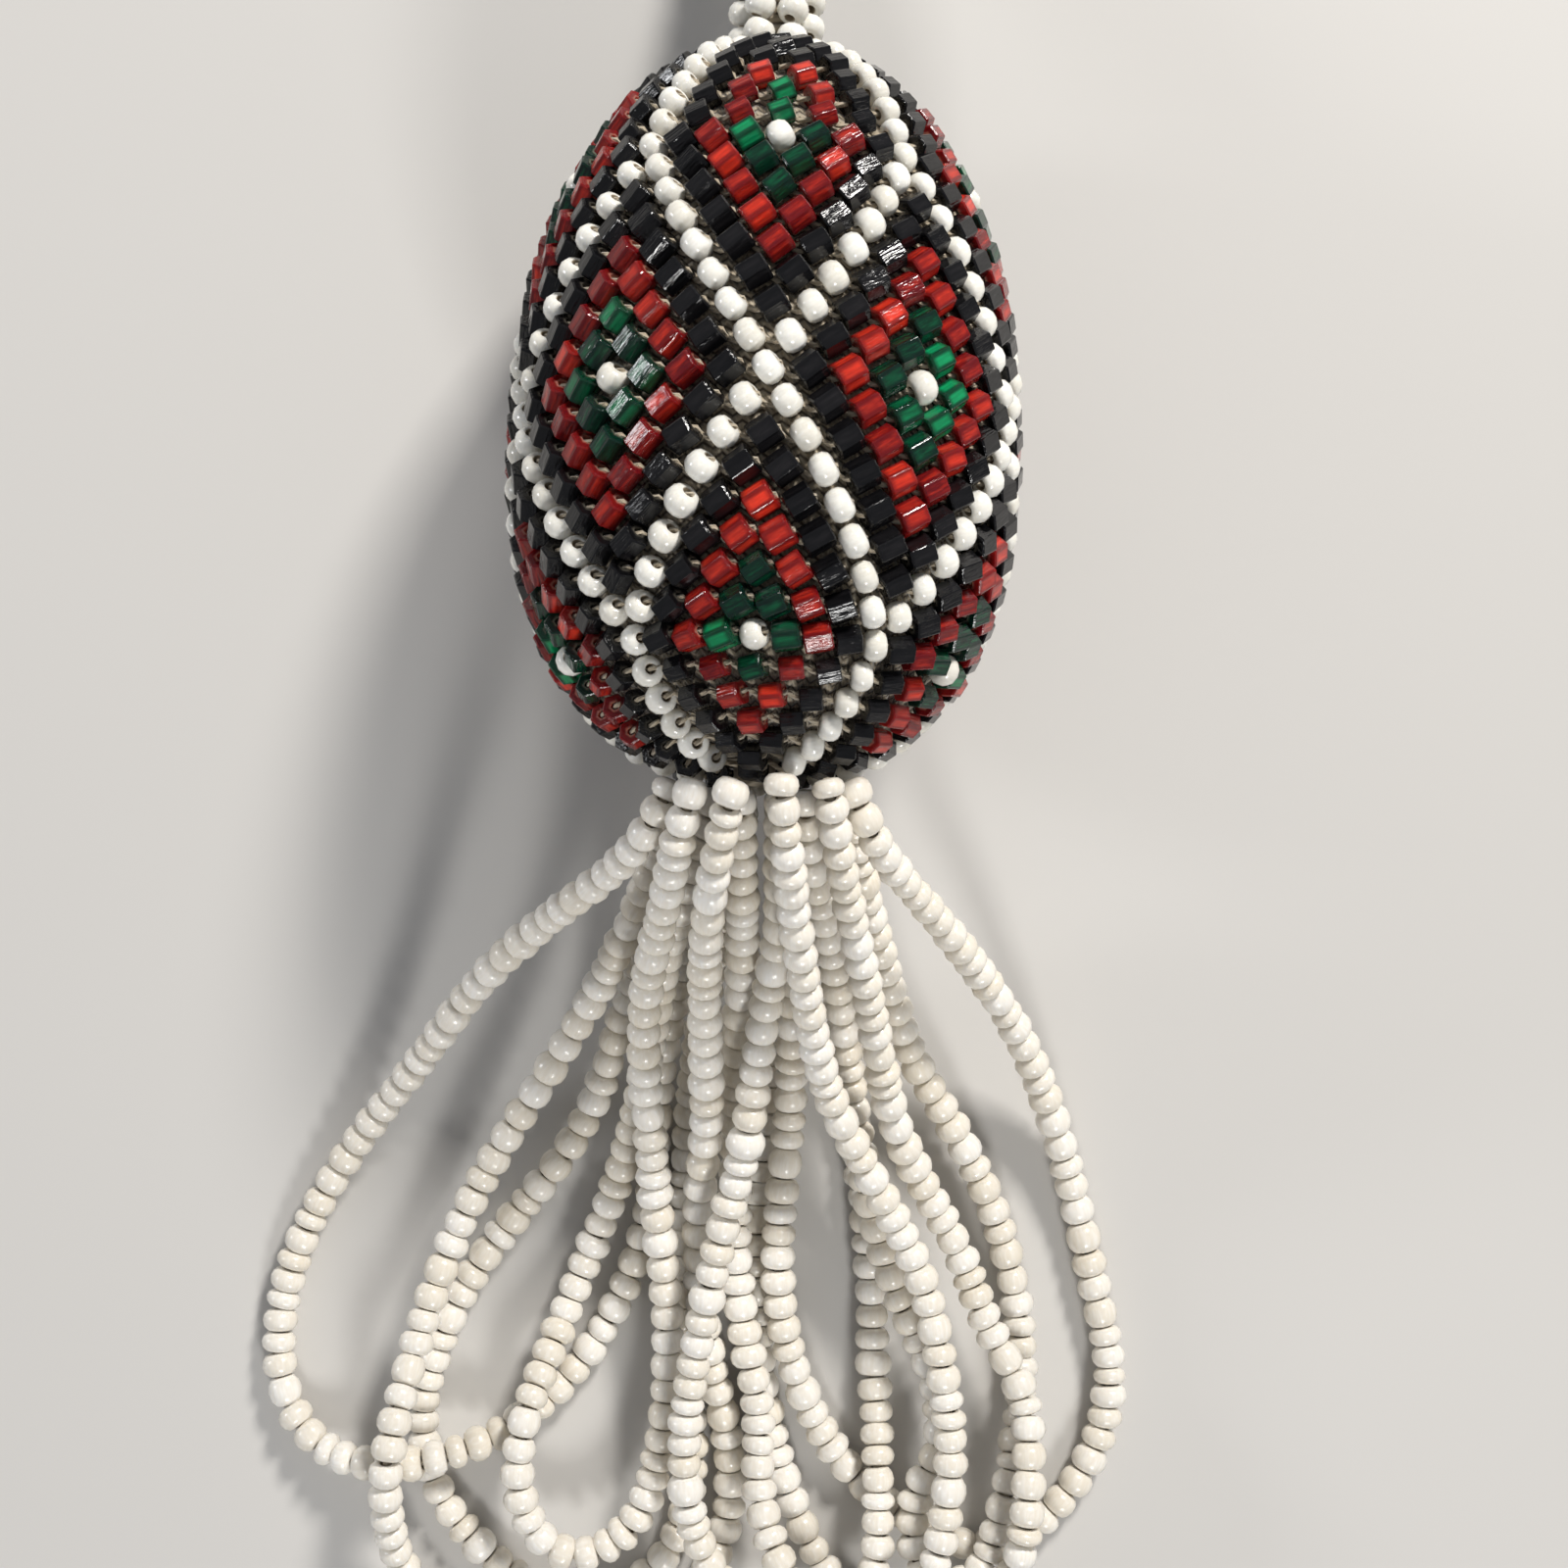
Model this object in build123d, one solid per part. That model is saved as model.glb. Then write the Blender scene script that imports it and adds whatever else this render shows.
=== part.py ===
from build123d import *
import math
import os

# An egg covered in bead crochet, with a bead rope at its pointed end and a tassel of beaded loops at
# its blunt end. Millimetres, +Z up. The egg lies along +Y, pointed end first, and leans a little.

# Egg core
CORE_DIAMETER = 40.0
CORE_POINTED = 35.6  # widest round to the pointed end
CORE_BLUNT = 28.1  # widest round to the blunt end
POINTED_POWER = 2.15  # superellipse powers: 2 is an ellipse, more is fuller
BLUNT_POWER = 2.3
JACKET = 0.4  # crocheted thread between the core and the beads
JACKET_OPENING = 2.6  # radius left open at each end, where the rope and the tassel start

# Beads
SEED_DIAMETER = 3.0
SEED_LENGTH = 2.2
SEED_HOLE = 1.0
SEED_RIM = 1.44  # diameter of the flat rim round the hole
CUT_FLATS = 2.5  # six-sided beads, across flats
CUT_LENGTH = 2.5
CUT_HOLE = 0.9

# Rows of beads, counted from the widest round: minus toward the pointed end
SECTORS = 5  # repeats of the pattern
SECTOR_BEADS = 8  # beads of one row in one sector
FULL_ROWS = 8  # rows each side of row 0 that hold every bead
LAST_ROW = 15  # at the pointed end, next to the rope
ROW_SPACING = 2.78
FIRST_ROW = 0.4  # row 0 from the widest round
END_GAP = 0.15  # extra step where the rows start to lose beads
END_PITCH = 3.35  # least step between beads in the rows past the full ones
CLOSING_ROW = 14  # last row at the blunt end, where one bead is left in each sector
BEAD_SLANT = 35.0  # of a bead's hole from its row
END_SLANT = 22.0
SHOULDER_ROW = 6  # rows from here on use slightly smaller beads
SHOULDER_SCALE = 0.95
END_SCALE = 0.82  # six-sided beads past the full rows
PATTERN_SPIN = 1.0
ROW_TWIST = 0.2  # degrees lost per row

# How the egg lies
EGG_TILT = 10.0  # pointed end down
EGG_LEAN = 1.5  # pointed end toward +X

# Closing thread under the tassel
GATHER_RADIUS = 1.9
GATHER_END = 30.6  # from the widest round
GATHER_ROUNDING = 0.6

# Rope: a spiral of beads round a thread core
ROPE_CORE = 3.0
ROPE_AROUND = 6
ROPE_RING = 3.05  # radius of the bead centres
ROPE_STEP = 2.7  # along the rope for one turn
ROPE_SLANT = 20.0
ROPE_START = 2.2  # first bead, from the start of the core
ROPE_END = 1.4  # last bead, from the end of the core
LOOP_DIAMETER = 3.0
STRAND_DIAMETER = 3.1

FILLET_SHARE = 0.45

ROPE_ROUTE = [
    (0.9, 32.2, 17.6), (1.2, 40, 16.2), (1.4, 50, 12.4), (1.6, 60, 8), (1.7, 70, 5.2),
    (1.9, 80, 4.6), (2.2, 88, 4.6),
]
LOOP_ROUTE = [
    (0.4, 89, 4.6), (-1.5, 92.5, 3.2), (-4.5, 98, 1.9), (-6, 104.5, 1.6), (-3.5, 111, 1.6),
    (2.5, 114, 1.6), (8.5, 111, 1.6), (10.5, 104.5, 1.6), (8.5, 98, 1.9), (5.5, 92.5, 3.2),
    (4, 89, 4.6),
]
STRAND_ROUTES = {
    "far_left": [
        (-8, -33.2, 31.3), (-9.5, -37, 31.2), (-13.5, -41.5, 26.5), (-20, -46, 20),
        (-27, -52, 13), (-33.5, -60.5, 7), (-41, -69.5, 2.4), (-46, -78, 1.75),
        (-48.5, -86.5, 1.75), (-48, -94.5, 1.75), (-43.5, -100, 2.8), (-36, -100.5, 5.5),
        (-30, -99, 5.2), (-24.5, -97, 2.6), (-18.5, -91.5, 1.75), (-14, -84, 1.75),
        (-11.5, -76.5, 1.75), (-11, -67.5, 1.75), (-10, -58.5, 4), (-7.5, -49.5, 9),
        (-4.5, -42, 16.4), (-2.5, -35.7, 20.9),
    ],
    "left_two": [
        (-8, -33.7, 27.1), (-9.5, -39.5, 24.9), (-12, -45.5, 18), (-15.5, -52.5, 12),
        (-20, -60, 8.5), (-25, -67.5, 6.5), (-29, -74.5, 5.5), (-32, -81.5, 5.3),
        (-34.5, -89.5, 6.3), (-36, -96, 9.5), (-37, -102.5, 8.6), (-36, -111, 4),
        (-30.5, -117.5, 1.75), (-22.5, -120, 1.75), (-14, -119, 1.75), (-7, -114.5, 1.75),
        (-3.5, -107, 1.75), (-3.5, -99, 1.75), (-5.5, -90, 4.8), (-6.5, -81.5, 5.4),
        (-6.5, -73.5, 8), (-5.5, -66.5, 12), (-5.5, -58.5, 17), (-5.5, -51.5, 23),
        (-5, -45, 28.5), (-4, -39.5, 34.4), (-2.5, -33.2, 36.9),
    ],
    "left_three": [
        (-6, -34.2, 23.5), (-8, -41, 19.7), (-11, -48.5, 12.5), (-14, -56.5, 7.5),
        (-16.5, -64.5, 4.5), (-20, -70.5, 3), (-25, -76.5, 2), (-29.5, -82.5, 1.75),
        (-32.5, -89, 1.75), (-34.5, -96, 1.75), (-33, -103.5, 1.75), (-28, -110, 1.75),
        (-21.5, -114.5, 1.75), (-14, -114, 1.75), (-8.5, -109, 1.75), (-7, -100.5, 1.75),
        (-8, -92, 1.75), (-8.5, -83, 1.75), (-8, -74.5, 1.75), (-7.5, -65.5, 4), (-6, -56, 10),
        (-4.5, -47.5, 16.5), (-2.5, -41, 22.9), (-2, -35.2, 26),
    ],
    "left_front": [
        (-6, -33.2, 34.9), (-7.5, -38.5, 33.1), (-9, -45, 26.5), (-11, -52, 19.8),
        (-11.5, -59.5, 14.5), (-11, -67.5, 10.5), (-10.5, -75.5, 8), (-9.5, -84.5, 6),
        (-9.5, -92, 5.4), (-10.5, -100, 5.3), (-12.5, -106, 5.3), (-17.5, -109.5, 5.3),
        (-22, -108, 5.6), (-24.5, -102, 6.6), (-23.5, -95, 7), (-21.5, -90, 4.5),
        (-18.5, -82.5, 2.2), (-15, -74, 3), (-12.5, -66, 6), (-11, -58, 11), (-9, -49, 18.5),
        (-6.5, -41.5, 25.9), (-4, -34.2, 29.2),
    ],
    "mid_front": [
        (1.5, -34.2, 32.3), (1.5, -40.5, 28.9), (1.5, -47, 23.5), (0, -54.5, 18.6),
        (-1, -62, 15.8), (-2, -69, 13.8), (-4, -75.5, 12.2), (-5.5, -82.5, 11.2),
        (-7, -89.5, 9.8), (-8, -97.5, 9), (-7.5, -104.5, 8.4), (-4.5, -112, 6),
        (1.5, -116.5, 5.2), (7.5, -115.5, 5.2), (11, -111, 5.2), (11, -104, 5.3),
        (11, -96.5, 3.4), (10.5, -89, 1.75), (10.5, -81.5, 1.75), (9.5, -73.5, 1.75),
        (8.5, -65.5, 1.9), (7.5, -57.5, 5), (6.5, -49.5, 11), (6, -42, 18.4),
        (5.5, -34.7, 23.5),
    ],
    "mid_right": [
        (1.5, -32.7, 36.9), (2, -38.5, 34.9), (2.5, -44, 29.8), (3.5, -50.5, 25),
        (4.5, -57, 20), (6, -63, 16), (9, -69, 12.6), (12.5, -75.5, 10), (15.5, -82, 9.2),
        (17, -89.5, 9.2), (18, -97, 9.3), (17.5, -104, 9.3), (16, -110.5, 9.2),
        (11.5, -115.5, 8.9), (6, -115.5, 8.9), (1.5, -110, 8), (-1, -102.5, 5.6),
        (-0.5, -95, 5.2), (-2, -88, 5.2), (-3, -80.5, 5.2), (-3, -73, 5), (-3, -65, 7.5),
        (-2.5, -57, 13), (-2, -49, 19.5), (-2, -42.5, 26.9), (-2, -34.2, 32.3),
    ],
    "right_front": [
        (5.5, -33.2, 34.9), (6.5, -39, 32.4), (7.5, -44, 27.5), (9, -50.5, 22.5),
        (10.5, -58, 17), (12, -65.5, 12), (15, -72, 8.2), (19, -79, 6.3), (21.5, -86.5, 6),
        (25.5, -93, 6.6), (25.5, -100, 8.8), (25, -107.5, 9.2), (22, -115.5, 5),
        (16.5, -120, 1.75), (10, -117.5, 1.75), (5, -110.5, 1.75), (2, -103.5, 1.75),
        (0, -96, 1.75), (-1, -87, 1.75), (-1, -76.5, 1.75), (0, -65.5, 1.75), (1, -56.5, 4),
        (1.5, -47.5, 9.5), (1.5, -42, 15.9), (1.5, -35.2, 21.5),
    ],
    "far_right": [
        (7.5, -33.2, 31.3), (9, -37, 31.2), (11, -40.5, 27.2), (15.5, -45.5, 21),
        (20, -51, 14.5), (24.5, -57.5, 8.5), (28, -65.5, 4.2), (30.5, -74, 2),
        (32.5, -83, 1.75), (34.5, -92, 1.75), (33, -99.5, 1.75), (28.5, -106, 1.75),
        (22, -110, 1.75), (16, -107.5, 1.75), (10.5, -104, 1.75), (6, -99, 1.75),
        (2.5, -91, 3.6), (1, -82.5, 5.2), (1.5, -74, 5.2), (2.5, -65, 6), (2.5, -57, 9.5),
        (2.5, -49.5, 14.8), (2, -42.5, 21.1), (1.5, -34.7, 26),
    ],
    "right_two": [
        (7.5, -33.7, 27.1), (8.5, -40, 23.7), (10, -46.5, 16.5), (12, -53.5, 11), (14, -60, 7),
        (18, -66.5, 4.6), (21.5, -73, 3), (24, -80, 1.9), (25.5, -89, 1.75), (25, -96.5, 2.6),
        (24, -101.5, 4.8), (22.7, -106.3, 5), (21.6, -110.5, 5), (18.3, -112.4, 5.1),
        (15.1, -110.6, 5.3), (14.2, -106, 5.3), (15, -102, 5.3), (17.5, -98, 5.2), (16.5, -91, 4.9),
        (13, -84, 5.2), (10.5, -76, 5.8), (9, -68.5, 7.4), (8, -61, 10), (7, -53, 15),
        (5.5, -46, 20.6), (4, -40, 26.5), (3.5, -34.2, 29.2),
    ],
}

OUTLINE_STEPS = 12


def outline(pole, girth, power):
    """Quarter outline from the widest round to a pole: X is out from the axis, Y is along it."""
    points = []
    for step in range(OUTLINE_STEPS + 1):
        angle = math.radians(90 * step / OUTLINE_STEPS)
        along = pole * math.sin(angle) ** (2 / power)
        out = girth * math.cos(angle) ** (2 / power)
        points.append((out, along))
    return Spline(*points, tangents=((0, math.copysign(1, pole)), (-1, 0)))


def halves(grown):
    """The pointed and the blunt outline of the core, grown by a distance."""
    girth = CORE_DIAMETER / 2 + grown
    pointed = outline(CORE_POINTED + grown, girth, POINTED_POWER)
    blunt = outline(-CORE_BLUNT - grown, girth, BLUNT_POWER)
    return pointed, blunt


def egg(grown):
    pointed, blunt = halves(grown)
    axis = Line((0, CORE_POINTED + grown), (0, -CORE_BLUNT - grown))
    return revolve(make_face([pointed, blunt, axis]), Axis.Y)


def along_axis(radius, start, end):
    """A cylinder on the egg's axis between two distances from the widest round."""
    base = Plane(origin=(0, start, 0), z_dir=(0, 1, 0))
    return extrude(base * Circle(radius), end - start)


def jacket():
    length = CORE_POINTED + CORE_BLUNT
    opening = along_axis(JACKET_OPENING, -length, length)
    return egg(JACKET) - egg(0) - opening


def gathering():
    """Coiled closing thread in the middle of the blunt end."""
    boss = along_axis(GATHER_RADIUS, -GATHER_END, -CORE_BLUNT / 2)
    rim = boss.edges().sort_by(Axis.Y)[0]
    return fillet(rim, GATHER_ROUNDING) - egg(JACKET)


def seed_bead(scale=1.0):
    """A rounded glass bead on Z, with its hole along Z."""
    half = SEED_LENGTH / 2
    rim = SEED_RIM / 2
    hole = SEED_HOLE / 2
    edges = [
        ThreePointArc((rim, -half), (SEED_DIAMETER / 2, 0), (rim, half)),
        Line((rim, half), (hole, half)),
        Line((hole, half), (hole, -half)),
        Line((hole, -half), (rim, -half)),
    ]
    section = Plane.XZ * make_face(edges)
    return revolve(section, Axis.Z).solid().scale(scale)


def cut_bead(scale=1.0):
    """A six-sided glass bead on Z, with its hole along Z and a flat side toward +X."""
    section = RegularPolygon(CUT_FLATS / 2, 6, major_radius=False, rotation=30)
    ends = section - Circle(CUT_HOLE / 2)
    bead = extrude(ends, CUT_LENGTH / 2, both=True)
    return bead.solid().scale(scale)


def ring_in_full_row(row, column):
    """Beads from the nearest eye, counted as diamonds grow: eyes sit on rows 0 and +-FULL_ROWS."""
    half = SECTOR_BEADS / 2
    to_middle = abs(row) / 2 + abs(column % SECTOR_BEADS - half)
    to_end = (FULL_ROWS - abs(row)) / 2 + abs((column + half) % SECTOR_BEADS - half)
    return round(min(to_middle, to_end))


def row_distance(row):
    """Distance of a row from the widest round, measured over the beads, plus toward the point."""
    past = math.copysign(END_GAP, row) if abs(row) > FULL_ROWS else 0
    return FIRST_ROW - ROW_SPACING * row - past


def full_row(row):
    """(turn in degrees, ring) of every bead in a full row."""
    around = SECTORS * SECTOR_BEADS
    shift = 0.5 if row % 2 else 0
    columns = [index + shift for index in range(around)]
    return [(360 / around * c, ring_in_full_row(row, c)) for c in columns]


def end_row(row, radius):
    """(turn in degrees, ring) of every bead in a row past the full ones."""
    sector = 360 / SECTORS
    count = min(SECTOR_BEADS, round(2 * math.pi * radius / (SECTORS * END_PITCH)))
    if count == 1:
        return [(sector * number, 3) for number in range(SECTORS)]
    beads = []
    for number in range(SECTORS * count):
        index = number % count
        ring = math.ceil((abs(row) - FULL_ROWS) / 2 + abs(index - count / 2))
        on_line = index == 0
        beads.append((sector / 2 + sector * number / count, 4 if on_line else min(ring, 3)))
    return beads


def slant(row, pitch):
    """A bead's slant in degrees: less where the row is so tight that beads would touch."""
    if abs(row) > FULL_ROWS:
        return END_SLANT
    return min(BEAD_SLANT, math.degrees(math.acos(min(1, CUT_LENGTH / pitch))))


def bead_plane(turn, place, toward_point, slanted):
    """Plane of a bead: X straight out of the egg, Z along the bead's hole."""
    out = Vector(math.sin(math.radians(turn)), 0, math.cos(math.radians(turn)))
    around = Vector(out.Z, 0, -out.X)
    origin = out * place.X + Vector(0, place.Y, 0)
    rise = out * toward_point.X + Vector(0, toward_point.Y, 0)
    angle = math.radians(slanted)
    hole = around * math.cos(angle) + rise * math.sin(angle)
    return Plane(origin=origin, x_dir=around.cross(rise), z_dir=hole)


def bead_scale(row, ring):
    if abs(row) > FULL_ROWS:
        return END_SCALE if ring in (1, 2, 3) else (1 + END_SCALE) / 2
    return SHOULDER_SCALE if abs(row) >= SHOULDER_ROW else 1.0


def cover():
    """Every bead on the egg, in lists by ring: 0 eyes, 1 green, 2 red, 3 black, 4 white lines."""
    pointed, blunt = halves(JACKET + SEED_DIAMETER / 2)
    stock = {}
    rings = [[] for _ in range(5)]
    for row in range(-LAST_ROW, CLOSING_ROW + 1):
        distance = row_distance(row)
        edge = pointed if distance > 0 else blunt
        place = edge.position_at(abs(distance), position_mode=PositionMode.LENGTH)
        tangent = edge.tangent_at(abs(distance), position_mode=PositionMode.LENGTH)
        toward_point = tangent if distance > 0 else tangent * -1
        beads = end_row(row, place.X) if abs(row) > FULL_ROWS else full_row(row)
        for turn, ring in beads:
            scale = bead_scale(row, ring)
            maker = seed_bead if ring in (0, 4) else cut_bead
            if (maker, scale) not in stock:
                stock[maker, scale] = maker(scale)
            pitch = 2 * math.pi * place.X / len(beads)
            spun = PATTERN_SPIN + turn - ROW_TWIST * row
            plane = bead_plane(spun, place, toward_point, slant(row, pitch))
            rings[ring].append(plane.location * stock[maker, scale])
    return rings


def route_path(points):
    """A polyline with every corner rounded as widely as its shorter run allows."""
    spots = [Vector(point) for point in points]
    radii = []
    for before, corner, after in zip(spots, spots[1:], spots[2:]):
        turn = math.radians((corner - before).get_angle(after - corner))
        shorter = min((corner - before).length, (after - corner).length)
        radii.append(FILLET_SHARE * shorter / math.tan(turn / 2))
    return FilletPolyline(*spots, radius=radii), min(radii)


def tube(name, points, diameter):
    path, tightest = route_path(points)
    section = Plane(origin=path @ 0, z_dir=path % 0) * Circle(diameter / 2)
    solid = sweep(section, path=path)
    ideal = math.pi * diameter**2 / 4 * path.length
    print(f"{name}: length {path.length:.0f}, tightest bend {tightest:.1f}, "
          f"volume {solid.volume / ideal:.3f} of its section times its length")
    return solid


def rope_beads():
    """A spiral of beads round the rope's core."""
    path = route_path(ROPE_ROUTE)[0]
    bead = seed_bead()
    step = ROPE_STEP / ROPE_AROUND
    count = int((path.length - ROPE_START - ROPE_END) / step) + 1
    beads = []
    for index in range(count):
        distance = ROPE_START + index * step
        centre = path.position_at(distance, position_mode=PositionMode.LENGTH)
        ahead = path.tangent_at(distance, position_mode=PositionMode.LENGTH)
        side = ahead.cross(Vector(0, 0, 1)).normalized()
        over = side.cross(ahead)
        turn = math.radians(360 / ROPE_AROUND * index)
        out = side * math.cos(turn) + over * math.sin(turn)
        around = ahead.cross(out)
        angle = math.radians(ROPE_SLANT)
        hole = ahead * math.cos(angle) + around * math.sin(angle)
        plane = Plane(origin=centre + out * ROPE_RING, x_dir=out, z_dir=hole)
        beads.append(plane.location * bead)
    return beads


def lay(nodes):
    """Tilt and lean the egg's pieces, then set them on the floor about the middle of their box."""
    turned = {}
    for name, shapes in nodes.items():
        place = Rotation(0, 0, -EGG_LEAN) * Rotation(-EGG_TILT, 0, 0)
        turned[name] = [place * shape for shape in shapes]
    box = Compound([shape for shapes in turned.values() for shape in shapes]).bounding_box()
    down = Location((-box.center().X, -box.center().Y, -box.min.Z))
    print(f"egg box {box.size}, widest round's centre at {-box.center().X:.2f}, "
          f"{-box.center().Y:.2f}, {-box.min.Z:.2f}")
    return {name: [down * shape for shape in shapes] for name, shapes in turned.items()}


def egg_nodes():
    eyes, green, red, black, lines = cover()
    return {
        "egg_core": [egg(0)],
        "crochet_jacket": [jacket()],
        "white_eye_beads": eyes,
        "green_beads": green,
        "red_beads": red,
        "black_beads": black,
        "white_lattice_beads": lines,
        "tassel_gathering": [gathering()],
    }


def main():
    os.makedirs("parts", exist_ok=True)
    nodes = lay(egg_nodes())
    nodes["rope_core"] = [tube("rope_core", ROPE_ROUTE, ROPE_CORE)]
    nodes["rope_beads"] = rope_beads()
    nodes["hanging_loop"] = [tube("hanging_loop", LOOP_ROUTE, LOOP_DIAMETER)]
    for name, points in STRAND_ROUTES.items():
        node = f"strand_{name}"
        nodes[node] = [tube(node, points, STRAND_DIAMETER)]
    for name, shapes in nodes.items():
        solids = [solid for shape in shapes for solid in shape.solids()]
        print(name, len(solids))
        export_step(Compound(solids), f"parts/{name}.step")


if __name__ == "__main__":
    main()
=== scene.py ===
"""Looks of the beaded egg ornament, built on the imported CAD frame. Metres, +Z up."""

import logging
import math
import random
from collections.abc import Callable, Iterable, Sequence
from dataclasses import dataclass
from enum import IntEnum
from itertools import accumulate, pairwise

import bmesh
import bpy
from bpy.types import Material, Mesh, Node, NodeSocket, NodeTree, Object
from mathutils import Matrix, Quaternion, Vector


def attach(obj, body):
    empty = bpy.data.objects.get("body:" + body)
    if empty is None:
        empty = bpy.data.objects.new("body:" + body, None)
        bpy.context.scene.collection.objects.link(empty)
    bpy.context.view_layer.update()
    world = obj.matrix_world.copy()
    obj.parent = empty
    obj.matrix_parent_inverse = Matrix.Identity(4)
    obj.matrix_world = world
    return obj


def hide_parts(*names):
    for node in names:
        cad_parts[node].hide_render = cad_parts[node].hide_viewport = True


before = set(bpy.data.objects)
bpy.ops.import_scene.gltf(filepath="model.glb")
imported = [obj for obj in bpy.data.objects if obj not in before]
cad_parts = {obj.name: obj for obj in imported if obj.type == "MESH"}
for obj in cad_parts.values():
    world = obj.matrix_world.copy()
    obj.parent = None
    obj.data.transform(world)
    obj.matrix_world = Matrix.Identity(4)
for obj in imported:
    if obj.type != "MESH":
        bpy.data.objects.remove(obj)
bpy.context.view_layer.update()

log = logging.getLogger("beaded_egg")

MM = 0.001
BODY = "root"
UP = Vector((0, 0, 1))

# The sizes below repeat part.py's, in millimetres and degrees. SEED_HOLE and SEED_RIM are smaller
# here, as on the real beads.
CORE_DIAMETER, CORE_POINTED, CORE_BLUNT = 40.0, 35.6, 28.1
POINTED_POWER, BLUNT_POWER = 2.15, 2.3
JACKET = 0.4
SEED_DIAMETER, SEED_LENGTH, SEED_HOLE, SEED_RIM = 3.0, 2.2, 0.95, 1.25
CUT_FLATS, CUT_LENGTH, CUT_HOLE = 2.5, 2.5, 0.9
SECTORS, SECTOR_BEADS, FULL_ROWS, LAST_ROW, CLOSING_ROW = 5, 8, 8, 15, 14
ROW_SPACING, FIRST_ROW, END_GAP, END_PITCH = 2.78, 0.4, 0.15, 3.35
BEAD_SLANT, END_SLANT = 35.0, 22.0
SHOULDER_ROW, SHOULDER_SCALE, END_SCALE = 6, 0.95, 0.82
PATTERN_SPIN, ROW_TWIST = 1.0, 0.2
EGG_TILT, EGG_LEAN = 10.0, 1.5
EGG_CENTRE = Vector((0.0, -3.48, 24.04))
ROPE_CORE, ROPE_AROUND, ROPE_RING, ROPE_STEP = 3.0, 6, 3.05, 2.7
ROPE_SLANT, ROPE_START, ROPE_END = 20.0, 2.2, 1.4
LOOP_DIAMETER = 3.0

# Shapes that only the visual model has, in millimetres unless a line says otherwise.
CUT_BEVEL = 0.14
SEED_MOUTH, SEED_FULLNESS = 0.9, 0.95  # share of the half length, power of the bulge
SEED_STEPS, SEED_SIDES = 6, 12
SEED_TIP, CUT_TIP = 0.34, 0.2  # how far a bead's leading end stands up, as a slope
BEAD_WOBBLE = 3.0  # degrees that a bead's slant varies by
BEAD_TIP, BEAD_UNEVEN = 0.05, 0.02  # variation as a slope and as a share
BEAD_LIFT = 0.06
THREAD_RADIUS, THREAD_REACH, THREAD_DIP, THREAD_SIDES = 0.24, 0.05, 0.75, 5
STRAND_BEAD, STRAND_GAP = 3.45, 0.02
SHORTEST_BEAD, LONGEST_BEAD, MEAN_BEAD, STRAND_SPREAD = 1.6, 3.0, 2.3, 0.34
STRAND_TILT, STRAND_UNEVEN = 0.06, 0.035  # a slope and a share
STRAND_GRADE, STRAND_GRADED = 0.33, 40.0  # how much smaller a strand's ends are, and how far
STRAND_THREAD, STRAND_THREAD_SIDES, ROPE_SIDES = 0.42, 6, 12
SHELL_DEPTH, SHELL_OPENING, SHELL_RINGS, SHELL_SIDES = 0.8, 1.0, 28, 80
STITCHES_AROUND, STITCH_RISE = 80, 0.9

# Seeds of the random draws, one for each piece that draws.
EGG_SEED, ROPE_SEED, STRAND_SEED, LOOP_SEED, TONE_SEED = 3, 5, 11, 31, 40

# The photograph was taken from straight above the egg.
CAMERA_PLACE = Vector((1.8, -33.6, 256.9)) * MM
CAMERA_LENS, CAMERA_SENSOR, CAMERA_NEAR = 59.04, 36.0, 0.01
FLOOR_HALF = 1.5
SKY_COLOUR, SKY_STRENGTH = (0.9, 0.93, 1, 1), 0.27

# Control points of the cords, the same as the routes in part.py, in metres.
ROPE_ROUTE = [
    (0.0009, 0.0322, 0.0176), (0.0012, 0.04, 0.0162), (0.0014, 0.05, 0.0124),
    (0.0016, 0.06, 0.008), (0.0017, 0.07, 0.0052), (0.0019, 0.08, 0.0046),
    (0.0022, 0.088, 0.0046),
]
LOOP_ROUTE = [
    (0.0004, 0.089, 0.0046), (-0.0015, 0.0925, 0.0032), (-0.0045, 0.098, 0.0019),
    (-0.006, 0.1045, 0.0016), (-0.0035, 0.111, 0.0016), (0.0025, 0.114, 0.0016),
    (0.0085, 0.111, 0.0016), (0.0105, 0.1045, 0.0016), (0.0085, 0.098, 0.0019),
    (0.0055, 0.0925, 0.0032), (0.004, 0.089, 0.0046),
]
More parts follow.
